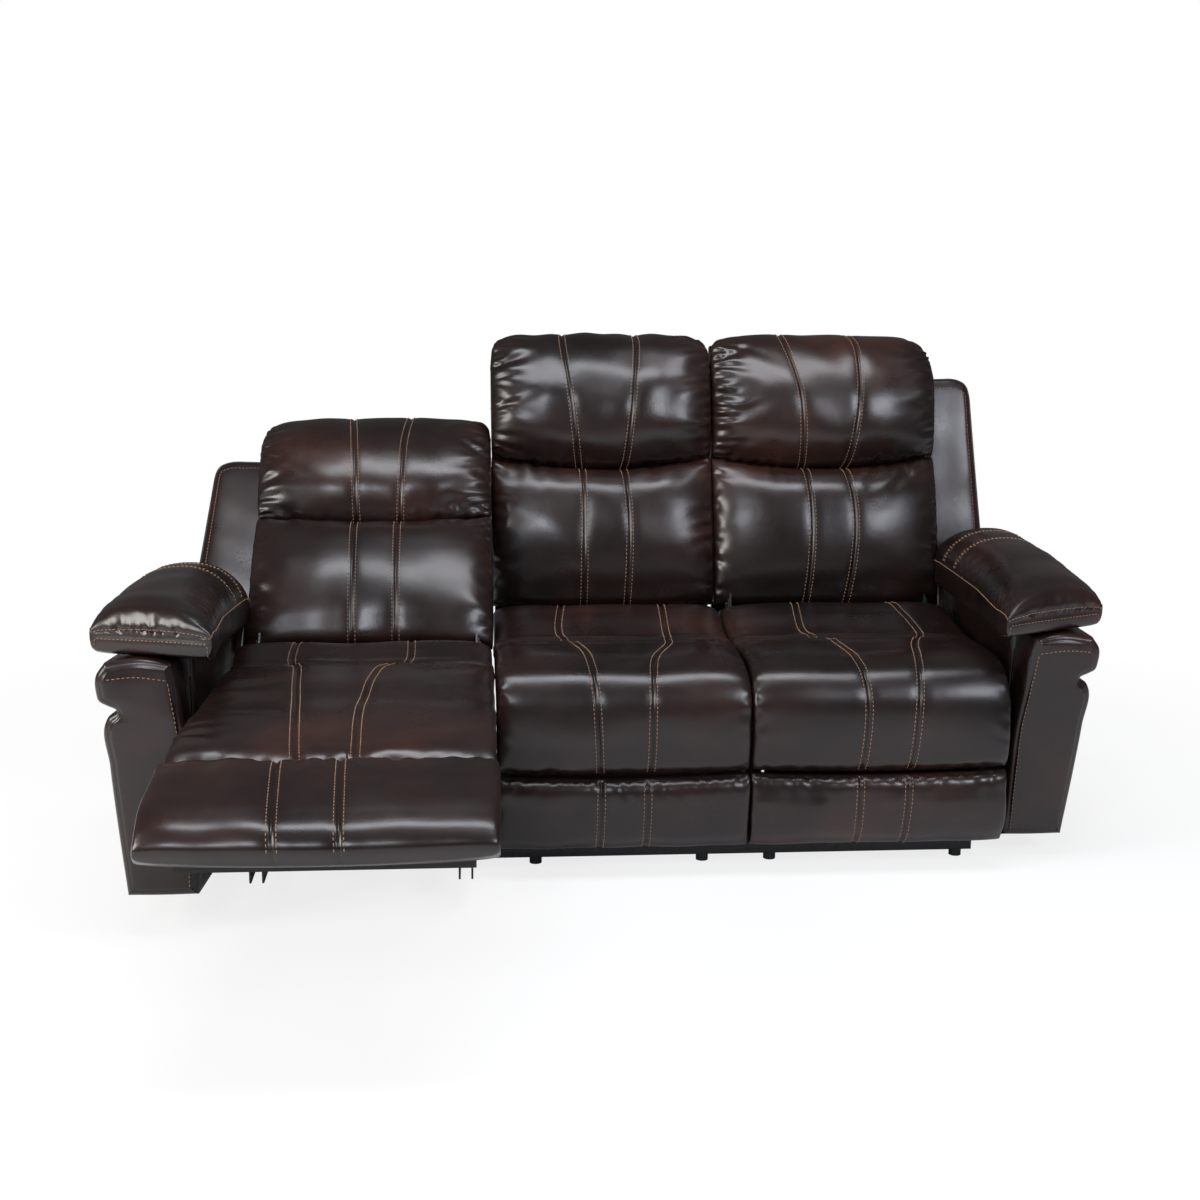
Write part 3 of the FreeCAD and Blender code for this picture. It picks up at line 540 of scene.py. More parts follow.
# s: sides (bottom, right, top, left), front and rear depth, edge radius and dome
def makeBoxed(name, s, place, seed=0):
    nx, ny = s["count"]
    bend = s.get("bend", True)
    sides = [sideCurve(p, n, bend) for p, n in zip(s["sides"], (nx, ny, nx, ny))]
    bottom, right, top, left = sides
    loop = np.vstack([bottom[:-1], right[:-1], top[::-1][:-1], left[::-1][:-1]])
    step = np.roll(loop, -1, 0) - np.roll(loop, 1, 0)
    inward = np.stack([-step[:, 1], step[:, 0]], -1)
    inward /= np.maximum(np.linalg.norm(inward, axis=1, keepdims=True), 1e-9)
    for _ in range(s.get("ease", 2)):
        inward = (np.roll(inward, 1, 0) + inward * 2 + np.roll(inward, -1, 0)) / 4
    r = s["radius"]
    rearR = s.get("rearRadius", r)
    front, rear = s["front"], s["rear"]
    bulge = s.get("bulge", 0.0)
    rings = []
    for k in range(5):
        a = k / 4 * math.pi / 2
        rings.append((r * (1 - math.sin(a)), rear - rearR * (1 - math.cos(a))))
    steps = max(3, int(abs(rear - front) / s.get("band", 0.03)))
    for k in range(1, steps):
        t = k / steps
        rings.append((-bulge * math.sin(math.pi * t), rear - rearR + (front + r - rear + rearR) * t))
    for k in range(6):
        a = k / 5 * math.pi / 2
        rings.append((r * (1 - math.cos(a)), front + r * (1 - math.sin(a))))
    verts, faces = [], []
    n = len(loop)
    for inset, depth in rings:
        flat = loop + inward * inset
        verts += [place(x, z, depth) for x, z in flat]
    for k in range(len(rings) - 1):
        for i in range(n):
            j = (i + 1) % n
            faces.append((k * n + i, k * n + j, (k + 1) * n + j, (k + 1) * n + i))
    capInfo = None
    for which, ring in (("rear", 0), ("front", len(rings) - 1)):
        inset, depth = rings[ring]
        flat = loop + inward * inset
        b = flat[:nx]
        rt = flat[nx - 1:nx - 1 + ny]
        tp = flat[nx + ny - 2:nx + ny - 2 + nx][::-1]
        lf = np.vstack([flat[2 * nx + ny - 3:], flat[:1]])[::-1]
        g = coons(b, rt, tp, lf)
        u = np.linspace(0, 1, nx)[None, :]
        v = np.linspace(0, 1, ny)[:, None]
        shape = (1 - np.abs(2 * u - 1) ** 3) ** 0.6 * (1 - np.abs(2 * v - 1) ** 5) ** 0.6
        lift = (s["dome"] if which == "front" else 0.0) * shape
        if which == "front":
            lift = lift + swell(g[..., 0], g[..., 1], seed, boxedSwell, s["swell"]) * np.minimum(shape * 2, 1)
        pts = np.array([[place(g[j, i, 0], g[j, i, 1], depth - lift[j, i]) for i in range(nx)]
                        for j in range(ny)])
        start = len(verts)
        verts += list(pts.reshape(-1, 3))
        index = start + np.arange(nx * ny).reshape(ny, nx)
        faces += [(index[j, i], index[j, i + 1], index[j + 1, i + 1], index[j + 1, i])
                  for j in range(ny - 1) for i in range(nx - 1)]
        if which == "front":
            capInfo = pts
    normal = gridNormals(capInfo)
    middle = np.mean(np.array(verts), axis=0)
    if np.sum((capInfo[ny // 2, nx // 2] - middle) * normal[ny // 2, nx // 2]) < 0:
        normal = -normal
    obj = meshObject(name, verts, faces, brownLeather, weld=0.00005)
    loops = [np.array([place(x, z, d) for x, z in loop + inward * i]) for i, d in rings]
    return obj, {"face": capInfo, "normal": normal, "rings": loops}


# A thin sewn roll along a line
def makeWelt(name, points, radius):
    curve = bpy.data.curves.new(name, "CURVE")
    curve.dimensions = "3D"
    curve.bevel_depth = radius
    curve.bevel_resolution = 3
    curve.use_fill_caps = True
    spline = curve.splines.new("NURBS")
    spline.points.add(len(points) - 1)
    for p, q in zip(spline.points, points):
        p.co = (*q, 1)
    spline.order_u = 3
    spline.use_endpoint_u = True
    curve.materials.append(brownLeather)
    temp = bpy.data.objects.new(name + "Curve", curve)
    bpy.context.scene.collection.objects.link(temp)
    mesh = bpy.data.meshes.new_from_object(temp)
    bpy.data.objects.remove(temp)
    mesh.name = name
    obj = bpy.data.objects.new(name, mesh)
    bpy.context.scene.collection.objects.link(obj)
    return obj


lowerPad = {
    "line": [((-0.02, 0.05), (-0.018, 0.056), (-0.016, 0.062)),
             ((-0.018, 0.016), (-0.008, 0.046), (-0.004, 0.079)),
             ((0.028, -0.014), (0.028, 0.036), (0.028, 0.0845)),
             ((0.11, -0.036), (0.11, 0.034), (0.11, 0.0845)),
             ((0.21, -0.034), (0.21, 0.036), (0.21, 0.0845)),
             ((0.286, -0.014), (0.286, 0.04), (0.286, 0.0845)),
             ((0.325, 0.018), (0.326, 0.047), (0.328, 0.083)),
             ((0.338, 0.052), (0.34, 0.062), (0.341, 0.076))],
    "power": 2.5, "corner": (0.005, 0.003), "bow": (0.0, -0.034), "bowOver": 0.36, "pull": -0.004,
    "swell": 0.0024,
    "gathers": [gather("end", 6, 0.065, 0.006, 0.009, -0.97, -0.45),
                gather("end", 6, 0.065, 0.0055, 0.009, 0.45, 0.97),
                gather("left", 9, 0.045, 0.0045, 0.01, 0.05, 0.98),
                gather("right", 9, 0.045, 0.0045, 0.01, 0.05, 0.98)],
}
headrest = {
    "line": [((0.334, 0.05), (0.333, 0.058), (0.332, 0.072)),
             ((0.34, 0.014), (0.342, 0.046), (0.34, 0.083)),
             ((0.38, -0.028), (0.384, 0.034), (0.386, 0.0845)),
             ((0.466, -0.044), (0.468, 0.03), (0.47, 0.0845)),
             ((0.55, -0.022), (0.55, 0.037), (0.55, 0.0845)),
             ((0.608, 0.018), (0.598, 0.056), (0.586, 0.088)),
             ((0.634, 0.062), (0.614, 0.082), (0.6, 0.1)),
             ((0.636, 0.106), (0.615, 0.112), (0.603, 0.116)),
             ((0.612, 0.144), (0.608, 0.14), (0.606, 0.134)),
             ((0.578, 0.149), (0.579, 0.146), (0.58, 0.1415))],
    "power": 2.5, "corner": (0.003, 0.012), "bow": (-0.034, 0.0), "bowOver": 0.30, "pull": -0.003,
    "swell": 0.0026, "swellSize": 0.13,
    "gathers": [gather("left", 15, 0.06, 0.0075, 0.007, 0.03, 0.78),
                gather("right", 15, 0.056, 0.007, 0.007, 0.03, 0.78),
                gather("start", 7, 0.055, 0.0055, 0.009, -0.96, -0.4),
                gather("start", 7, 0.055, 0.0055, 0.009, 0.4, 0.96)],
}
innerCorner = [(0, 0), (0.52, 0), (0.62, -0.003), (0.70, -0.011), (0.78, -0.024), (0.86, -0.032), (1, -0.036)]
outerCorner = [(0, 0), (0.46, 0), (0.56, -0.006), (0.64, -0.016), (0.72, -0.034), (0.80, -0.050),
               (0.88, -0.060), (1, -0.064)]
backSeams = {
    "middle": {"low": [[(0, -0.186), (0.6, -0.179), (1, -0.183)], [(0, 0.202), (0.6, 0.221), (1, 0.190)]],
               "head": [[(0, -0.200), (0.30, -0.270), (0.76, -0.377), (1, -0.40)],
                        [(0, 0.190), (0.30, 0.255), (0.76, 0.342), (1, 0.36)]]},
    "right": {"low": [[(0, -0.206), (0.6, -0.157), (1, -0.183)], [(0, 0.144), (0.6, 0.223), (1, 0.166)]],
              "head": [[(0, -0.200), (0.42, -0.247), (0.76, -0.393), (1, -0.43)],
                       [(0, 0.177), (0.42, 0.290), (0.76, 0.309), (1, 0.32)]]},
    "left": {"low": [[(0, -0.209), (0.6, -0.205), (1, -0.202)], [(0, 0.147), (0.6, 0.152), (1, 0.159)]],
             "head": [[(0, -0.217), (0.45, -0.255), (0.76, -0.322), (1, -0.34)],
                      [(0, 0.144), (0.45, 0.180), (0.76, 0.241), (1, 0.26)]]},
}
widthOf = {"middle": (-0.2580, 0.2580), "right": (0.2640, 0.7960), "left": (0.2640, 0.7900)}
seedNumber = {"middle": 3, "right": 7, "left": 12}


def backBody(seat):
    return "base" if seat == "middle" else seat + "_back"


for seat in ("middle", "right", "left"):
    x0, x1 = widthOf[seat]
    place = backPlace(seat)
    body = backBody(seat)
    low = dict(lowerPad, x0=x0, x1=x1, seams=backSeams[seat]["low"])
    high = dict(headrest, x0=x0, x1=x1, seams=backSeams[seat]["head"])
    high["flareLeft"] = innerCorner
    high["flareRight"] = innerCorner if seat == "middle" else outerCorner
    obj, info = makePad(seat + "_lower_back", low, place, seedNumber[seat])
    finishPiece(obj, body, 0.75, [seat + "_lower_back_pad"])
    rows = seamRows(info, skip=(0.02, 0.012))
    obj, info = makePad(seat + "_headrest", high, place, seedNumber[seat] + 1)
    finishPiece(obj, body, 0.85, [seat + "_headrest_pad"])
    rows += seamRows(info, skip=(0.012, 0.02))
    finishPiece(makeStitches(seat + "_back_stitches", rows), body)
print("backs ready")


closedSeat = {
    "line": [((0.452, 0.43), (0.45, 0.424), (0.448, 0.418)),
             ((0.44, 0.458), (0.44, 0.425), (0.443, 0.35)),
             ((0.405, 0.47), (0.405, 0.43), (0.41, 0.338)),
             ((0.33, 0.463), (0.33, 0.42), (0.33, 0.3365)),
             ((0.24, 0.449), (0.24, 0.41), (0.24, 0.3365)),
             ((0.15, 0.446), (0.15, 0.405), (0.15, 0.3365)),
             ((0.06, 0.454), (0.06, 0.41), (0.06, 0.3365)),
             ((-0.03, 0.449), (-0.03, 0.405), (-0.03, 0.3365)),
             ((-0.088, 0.427), (-0.075, 0.39), (-0.05, 0.33)),
             ((-0.118, 0.386), (-0.098, 0.365), (-0.069, 0.32)),
             ((-0.129, 0.33), (-0.1, 0.325), (-0.069, 0.29)),
             ((-0.127, 0.275), (-0.1, 0.27), (-0.069, 0.255)),
             ((-0.117, 0.241), (-0.096, 0.239), (-0.07, 0.225)),
             ((-0.1, 0.225), (-0.091, 0.225), (-0.078, 0.222))],
    "power": 5.0, "corner": (0.008, 0.004), "pull": -0.002, "bow": (0.0, 0.008),
    "swell": 0.0022, "swellSize": 0.20, "skip": (0.02, 0.006), "fill": 0.7,
    "crossSeams": [{"at": 0.395, "depth": 0.006, "width": 0.009, "sag": 0.010, "roll": 0.003}],
    "gathers": [gather(0.395, 6, 0.06, 0.003, 0.01, -0.98, -0.6, way=1),
                gather(0.395, 6, 0.06, 0.003, 0.01, 0.6, 0.98, way=1),
                gather("end", 10, 0.03, 0.003, 0.01, -0.98, 0.98),
                gather("left", 12, 0.03, 0.0025, 0.012, 0.45, 0.98),
                gather("right", 12, 0.03, 0.0025, 0.012, 0.45, 0.98)],
    "dents": [{"x": 0.0, "wide": 0.55, "s": 0.52, "long": 0.10, "depth": 0.006}],
}
closedPanel = {
    "line": [((-0.099, 0.2185), (-0.092, 0.2185), (-0.078, 0.216)),
             ((-0.114, 0.206), (-0.1, 0.206), (-0.068, 0.205)),
             ((-0.124, 0.17), (-0.1, 0.17), (-0.0545, 0.17)),
             ((-0.122, 0.12), (-0.095, 0.12), (-0.0535, 0.12)),
             ((-0.11, 0.08), (-0.085, 0.08), (-0.0535, 0.08)),
             ((-0.092, 0.0615), (-0.078, 0.062), (-0.058, 0.064)),
             ((-0.072, 0.057), (-0.07, 0.058), (-0.066, 0.0595))],
    "power": 6.0, "corner": (0.004, 0.010), "pull": -0.002, "swell": 0.0020, "bow": (0.008, 0.0),
    "skip": (0.006, 0.012), "fill": 0.6,
    "gathers": [gather("start", 22, 0.04, 0.0028, 0.0075, -0.97, 0.97)],
}
seatSeams = {
    "middle": {"seat": [[(0, -0.384), (0.385, -0.412), (0.41, -0.357), (0.66, -0.250), (1, -0.186)],
                        [(0, 0.505), (0.385, 0.450), (0.41, 0.447), (0.66, 0.250), (1, 0.210)]],
               "panel": [[(0, -0.179), (1, -0.190)], [(0, 0.186), (1, 0.179)]]},
    "right": {"seat": [[(0, -0.322), (0.385, -0.352), (0.41, -0.236), (0.66, -0.150), (0.8, -0.119),
                        (1, -0.149)],
                       [(0, 0.500), (0.385, 0.538), (0.41, 0.500), (0.66, 0.320), (1, 0.234)]],
              "panel": [[(0, -0.157), (1, -0.172)], [(0, 0.223), (1, 0.192)]]},
}


# A pad and its stitched rows, on one body, or attached to no body with the transform baked in when a hinge
# between two bodies is given
def stitchedPad(name, s, place, seed, stands, body=None, blend=None):
    pad, info = makePad(name, s, place, seed)
    finishPiece(pad, body, s["fill"], stands, blend=blend)
    rows = makeStitches(name.replace("_cover", "") + "_stitches", seamRows(info, s["skip"]))
    finishPiece(rows, body, blend=blend)


for seat in ("middle", "right"):
    x0, x1 = widthOf[seat]
    place, body, hinge, run, last = closedPlace, "base", None, None, "_front_panel"
    if seat == "right":
        place, body, last = layoutPlace("right", "seat"), None, "_footrest_pad"
        hinge = ("right_seat", "right_chaise", (0.53, 0.0287, 0.426), (0.53, -0.0313, 0.396))
        run = ("right_chaise", "right_footrest", (0.53, 0.0, 0.2185), (0.53, 0.0, 0.184))
    rule = dict(closedSeat, x0=x0, x1=x1, seams=seatSeams[seat]["seat"])
    stands = [seat + "_seat_cushion", seat + "_chaise_pad"]
    stitchedPad(seat + "_seat_cover", rule, place, seedNumber[seat] + 2, stands, body, hinge)
    rule = dict(closedPanel, x0=x0, x1=x1, seams=seatSeams[seat]["panel"])
    stitchedPad(seat + "_panel", rule, place, seedNumber[seat] + 3, [seat + last], body, run)

openSeat = {
    "line": [((0.105, 0.43), (0.104, 0.42), (0.102, 0.4)),
             ((0.1, 0.451), (0.092, 0.42), (0.094, 0.345)),
             ((0.072, 0.464), (0.066, 0.42), (0.07, 0.328)),
             ((0.02, 0.455), (0.02, 0.41), (0.02, 0.332)),
             ((-0.035, 0.444), (-0.035, 0.4), (-0.035, 0.338)),
             ((-0.1, 0.456), (-0.1, 0.41), (-0.1, 0.345)), ((-0.2, 0.465), (-0.2, 0.42), (-0.2, 0.356)),
             ((-0.3, 0.467), (-0.3, 0.425), (-0.3, 0.367)),
             ((-0.39, 0.464), (-0.39, 0.43), (-0.39, 0.377)),
             ((-0.47, 0.47), (-0.47, 0.435), (-0.47, 0.388)),
             ((-0.55, 0.47), (-0.55, 0.435), (-0.55, 0.398)),
             ((-0.63, 0.465), (-0.63, 0.432), (-0.63, 0.402)),
             ((-0.68, 0.455), (-0.68, 0.43), (-0.678, 0.406)),
             ((-0.7, 0.44), (-0.699, 0.432), (-0.696, 0.422))],
    "power": 6.0, "corner": (0.020, 0.012), "pull": -0.001, "bow": (0.0, 0.010),
    "swell": 0.0030, "swellSize": 0.22, "skip": (0.02, 0.006), "fill": 0.7,
    "crossSeams": [{"at": 0.195, "depth": 0.006, "width": 0.008, "sag": 0.012, "roll": 0.003}],
    "gathers": [gather(0.195, 5, 0.09, 0.003, 0.014, -0.98, -0.5, way=1),
                gather(0.195, 5, 0.09, 0.003, 0.014, 0.5, 0.98, way=1),
                gather("end", 14, 0.05, 0.003, 0.012, -0.98, 0.98),
                gather("right", 10, 0.1, 0.004, 0.013, 0.25, 0.9)],
}
openFootrest = {
    "line": [((-0.704, 0.44), (-0.704, 0.432), (-0.702, 0.415)),
             ((-0.72, 0.453), (-0.72, 0.43), (-0.716, 0.392)),
             ((-0.765, 0.456), (-0.765, 0.42), (-0.765, 0.374)),
             ((-0.83, 0.445), (-0.83, 0.41), (-0.83, 0.362)),
             ((-0.896, 0.428), (-0.888, 0.394), (-0.885, 0.354)),
             ((-0.936, 0.409), (-0.922, 0.383), (-0.908, 0.35)),
             ((-0.952, 0.388), (-0.937, 0.372), (-0.915, 0.347)),
             ((-0.942, 0.361), (-0.932, 0.358), (-0.918, 0.35))],
    "power": 6.0, "corner": (0.012, 0.018), "pull": -0.003, "swell": 0.0026, "bow": (-0.010, 0.008),
    "skip": (0.006, 0.02), "fill": 0.6,
    "gathers": [gather("start", 24, 0.05, 0.0042, 0.0075, -0.97, 0.97)],
}
openSeams = {
    "seat": [[(0, -0.363), (0.18, -0.352), (0.20, -0.262), (0.60, -0.100), (1, -0.127)],
             [(0, 0.508), (0.18, 0.527), (0.20, 0.508), (0.52, 0.384), (1, 0.230)]],
    "panel": [[(0, -0.070), (1, -0.127)], [(0, 0.305), (1, 0.234)]],
}


# The open seat is drawn where it stands, mirrored to the left
def openPut(x, y, z):
    return -x, y + rowShift, z


hinge = ("left_seat", "left_chaise", (-0.53, -0.358, 0.45), (-0.53, -0.438, 0.45))
run = ("left_chaise", "left_footrest", (-0.53, -0.612, 0.44), (-0.53, -0.735, 0.42))
rule = dict(openSeat, x0=0.2660, x1=0.7960, seams=openSeams["seat"], flareRight=[(0, 0), (0.5, 0), (1, 0.012)])
stitchedPad("left_seat_cover", rule, openPut, 31, ["left_seat_cushion", "left_chaise_pad"], blend=hinge)
rule = dict(openFootrest, x0=0.2650, x1=0.8130, seams=openSeams["panel"])
stitchedPad("left_footrest", rule, openPut, 33, ["left_footrest_pad"], blend=run)
print("seats ready")


wing = {
    "sides": [[(0.764, 0.030), (0.934, 0.030)],
              [(0.934, 0.030), (0.922, 0.210), (0.912, 0.380), (0.906, 0.490)],
              [(0.764, 0.527), (0.830, 0.530), (0.872, 0.529), (0.896, 0.517), (0.906, 0.490)],
              [(0.764, 0.030), (0.764, 0.527)]],
    "count": (26, 60), "front": 0.0860, "rear": 0.1245, "radius": 0.011, "dome": 0.005, "swell": 0.0010,
}
backSkirt = {
    "sides": rectangle(0.7975, -0.165, 0.8148, 0.060), "bend": False, "count": (6, 40),
    "front": 0.030, "rear": 0.122, "radius": 0.004, "dome": 0.0, "swell": 0.0,
}
outerBack = {
    "count": (40, 60), "front": 0.1395, "rear": 0.1255, "radius": 0.005, "dome": 0.004, "swell": 0.0015,
    "band": 0.008,
}


for seat in ("left", "right"):
    place = backPlace(seat)
    body = seat + "_back"
    obj, info = makeBoxed(seat + "_wing_pad", wing, place, seedNumber[seat] + 40)
    finishPiece(obj, body, 0.5, [seat + "_back_wing"])
    nx, ny = wing["count"]
    ring = info["rings"][-4]
    edge = ring[nx - 1:nx + ny - 2 + nx]
    finishPiece(makeWelt(seat + "_wing_welt", edge[::2], 0.0022), body)
    cap = info["face"]
    line = np.vstack([cap[2:-3, -3], cap[-3, -3:4:-1]])
    normals = np.vstack([info["normal"][2:-3, -3], info["normal"][-3, -3:4:-1]])
    finishPiece(makeStitches(seat + "_wing_stitches", [(line, normals)]), body)
for seat in ("left", "middle", "right"):
    place = backPlace(seat)
    body = backBody(seat)
    x0, x1 = (-0.252, 0.252) if seat == "middle" else (0.267, 0.8080)
    top = [(x0 + 0.006, 0.616), (x1 - (0.006 if seat == "middle" else 0.026), 0.616)]
    right = [(x1, -0.228), (x1, 0.45), (x1 if seat == "middle" else 0.7820, 0.53), top[1]]
    sides = [[(x0, -0.228), (x1, -0.228)], right, top, [(x0, -0.228), top[0]]]
    rule = dict(outerBack, sides=sides, bend=False)
    obj, info = makeBoxed(seat + "_outer_cover", rule, place, seedNumber[seat] + 50)
    finishPiece(obj, body, 0.3, [seat + "_outer_back"])
    cap, nrm = info["face"], info["normal"]
    rows = [(cap[1:-1, 2], nrm[1:-1, 2]), (cap[1:-1, -3], nrm[1:-1, -3]), (cap[-3, 1:-1], nrm[-3, 1:-1])]
    finishPiece(makeStitches(seat + "_outer_stitches", rows), body)
    if seat != "middle":
        obj, info = makeBoxed(seat + "_back_skirt", backSkirt, place, seedNumber[seat] + 65)
        finishPiece(obj, body, 0.3)
        sides = [[(0.8105, 0.032), (0.936, 0.032)], [(0.936, 0.032), (0.901, 0.476)],
                 [(0.8105, 0.510), (0.862, 0.510), (0.890, 0.500), (0.901, 0.476)],
                 [(0.8105, 0.032), (0.8105, 0.510)]]
        rule = dict(outerBack, sides=sides, count=(16, 44))
        obj, info = makeBoxed(seat + "_wing_back", rule, place, seedNumber[seat] + 60)
        finishPiece(obj, body, 0.3)
print("wings and outer backs ready")


armPanel = {
    "sides": [[(0.820, 0.049), (0.885, 0.048), (0.950, 0.049)],
              [(0.950, 0.049), (0.961, 0.180), (0.969, 0.300), (0.9715, 0.385), (0.966, 0.395), (0.950, 0.4055),
               (0.968, 0.4150), (0.982, 0.424), (0.986, 0.440), (0.985, 0.470), (0.968, 0.4955)],
              [(0.846, 0.4955), (0.905, 0.5035), (0.968, 0.4955)],
              [(0.820, 0.049), (0.818, 0.200), (0.8195, 0.300), (0.829, 0.380), (0.840, 0.470),
               (0.846, 0.4955)]],
    "count": (34, 110), "front": 0.0, "rear": 0.60, "radius": 0.014, "rearRadius": 0.010, "dome": 0.007,
    "swell": 0.0022, "ease": 3, "bulge": 0.002,
}
armFront = {"low": (-0.031, 0.048), "high": (-0.092, 0.468), "rear": 0.524}
armInside = {  # fills the room between the arm and the cushion, behind the arm's front
    "sides": [[(0.8185, 0.315), (0.850, 0.315)], [(0.850, 0.315), (0.862, 0.5035)],
              [(0.8185, 0.5035), (0.862, 0.5035)], [(0.8185, 0.315), (0.8185, 0.5035)]],
    "bend": False, "count": (12, 40), "front": 0.070, "rear": 0.60, "radius": 0.010, "dome": 0.0,
    "swell": 0.0, "ease": 3, "bulge": 0.001,
}


def armPlace(side):
    put = layoutPlace(side, "chassis")
    (lowY, lowZ), (highY, highZ) = armFront["low"], armFront["high"]
    lean = (highY - lowY) / (highZ - lowZ)
    deep = armPanel["rear"]

    def place(x, z, depth):
        y0 = lowY + lean * (z - lowZ)
        share = min(max(depth, -0.1), deep) / deep  # the front leans, the rear stands upright
        return put(x, y0 * (1 - share) + depth + share * (armFront["rear"] - deep), z)
    return place


pillow = {
    "line": [((-0.1485, 0.546), (-0.15, 0.5445), (-0.1485, 0.543)),
             ((-0.151, 0.566), (-0.15, 0.545), (-0.149, 0.529)),
             ((-0.139, 0.588), (-0.139, 0.546), (-0.143, 0.513)),
             ((-0.1, 0.605), (-0.104, 0.548), (-0.118, 0.5065)),
             ((0.0, 0.618), (0.0, 0.55), (0.0, 0.506)), ((0.12, 0.629), (0.12, 0.552), (0.12, 0.5058)),
             ((0.26, 0.638), (0.26, 0.554), (0.26, 0.5058)),
             ((0.37, 0.641), (0.37, 0.556), (0.37, 0.5058)),
             ((0.45, 0.637), (0.45, 0.557), (0.45, 0.506)),
             ((0.495, 0.62), (0.49, 0.556), (0.49, 0.508)),
             ((0.514, 0.587), (0.508, 0.553), (0.506, 0.516)),
             ((0.516, 0.553), (0.515, 0.551), (0.514, 0.548))],
    "x0": 0.786, "x1": 1.004, "power": 2.2, "under": 9.0, "corner": (0.026, 0.030), "pull": 0.002,
    "swell": 0.0018, "swellSize": 0.16, "step": 0.0050, "sweep": 0.112, "reach": 0.022,
    "sweepFrom": 0.14, "sweepOver": 0.29, "droop": 0.012, "droopWidth": 2.3,
    "seamsAt": (0.64, 0.755), "seamGap": (-0.0045, 0.0045), "seamBend": 0.03,
    "gathers": [gather("start", 12, 0.03, 0.006, 0.0052, -0.55, 0.95),
                gather("left", 14, 0.03, 0.003, 0.008, 0.05, 0.7),
                gather("right", 12, 0.03, 0.003, 0.008, 0.05, 0.7)],
}
for seat in ("left", "right"):
    body = seat + "_chassis"
    put = layoutPlace(seat, "chassis")
    obj, info = makeBoxed(seat + "_arm", armPanel, armPlace(seat), seedNumber[seat] + 70)
    finishPiece(obj, body, 0.4, [seat + "_arm_panel"])
    inside, _ = makeBoxed(seat + "_arm_inside", armInside, armPlace(seat), seedNumber[seat] + 75)
    finishPiece(inside, body, 0.4)
    cap, nrm = info["face"], info["normal"]
    rows = [(cap[2:-8, 2], nrm[2:-8, 2]), (cap[-8, 2:-3], nrm[-8, 2:-3])]
    finishPiece(makeStitches(seat + "_arm_stitches", rows), body)

    def pillowPlace(x, y, z, put=put):  # the front end is swept to the rear at its outer side
        u = (x - pillow["x0"]) / (pillow["x1"] - pillow["x0"])
        near = min(max((pillow["sweepFrom"] - y) / pillow["sweepOver"], 0.0), 1.0)
        droop = pillow["droop"] * max(0.0, 1 - u * pillow["droopWidth"]) ** 2
        droop *= min(max((y + 0.15) / 0.10, 0.25), 1.0)
        return put(x - pillow["reach"] * (1 - u) * near, y + pillow["sweep"] * u * near, z - droop)
    obj, info = makePad(seat + "_arm_top", pillow, pillowPlace, seedNumber[seat] + 80)
    finishPiece(obj, body, 0.9, [seat + "_arm_pillow"])
    face, back, normal = info["face"], info["back"], info["normal"]
    c = face.shape[1]
    nearLeft, nearRight, start = 2, c - 3, 4
    upper = np.vstack([face[-8:start:-1, nearLeft], face[start, nearLeft:nearRight], face[start:-8, nearRight]])
    upperN = np.vstack([normal[-8:start:-1, nearLeft], normal[start, nearLeft:nearRight],
                        normal[start:-8, nearRight]])
    j = int(np.argmin(np.abs(info["cols"] + 0.93)))
    k = c - 1 - j
    i = 6
    lower = np.vstack([back[-8:i:-1, j], back[i, j:k], back[i:-8, k]])
    out = lower - back.mean(axis=(0, 1))
    out[:, 2] *= 0.2
    out /= np.maximum(np.linalg.norm(out, axis=1, keepdims=True), 1e-9)
    finishPiece(makeStitches(seat + "_arm_band_stitches", [(upper, upperN), (lower, out)]), body)
    across = []
    for at in pillow["seamsAt"]:
        for gap in pillow["seamGap"]:
            wanted = (at + pillow["seamBend"] * info["cols"] ** 2 + gap) * info["full"]
            r = [int(np.argmin(np.abs(info["rows"] - w))) for w in wanted]
            keep = range(3, c - 3)
            across.append((np.array([face[r[q], q] for q in keep]), np.array([normal[r[q], q] for q in keep])))
    finishPiece(makeStitches(seat + "_arm_cross_stitches", across), body)
print("arms ready")


finishes = [
    (blackSteel, ("base_front_rail", "base_rear_rail", "base_cross_rails", "slide_tracks", "carriage",
                  "side_plates", "link_hangers", "rear_links", "front_links", "back_brackets")),
    (springSteel, ("seat_springs",)),
    (boltSteel, ("base_bolts",)),
    (plywood, ("middle_sides", "middle_front_board", "seat_frame")),
    (glidePlastic, ("floor_glides",)),
    (leverPlastic, ("release_lever",)),
    (deckCloth, ("seat_deck", "footrest_board", "back_board")),
]
for material, endings in finishes:
    for name, obj in nodes.items():
        if name.endswith(endings):
            for slot in obj.material_slots:
                slot.material = material
            if not obj.material_slots:
                obj.data.materials.append(material)

deck = {
    "sides": rectangle(0.305, 0.431, 0.755, 0.511), "bend": False, "count": (40, 10),
    "front": -0.394, "rear": -0.336, "radius": 0.008, "dome": 0.002, "swell": 0.0012,
}
for seat in ("left", "right"):
    put = layoutPlace(seat, "seat")
    upright = lambda x, y, d, put=put: put(x, y, -d)
    obj, info = makeBoxed(seat + "_deck_pad", deck, upright, seedNumber[seat] + 90)
    obj.data.materials[0] = deckCloth
    finishPiece(obj, seat + "_seat", 0.4, [seat + "_seat_deck"])
print("frame parts ready")


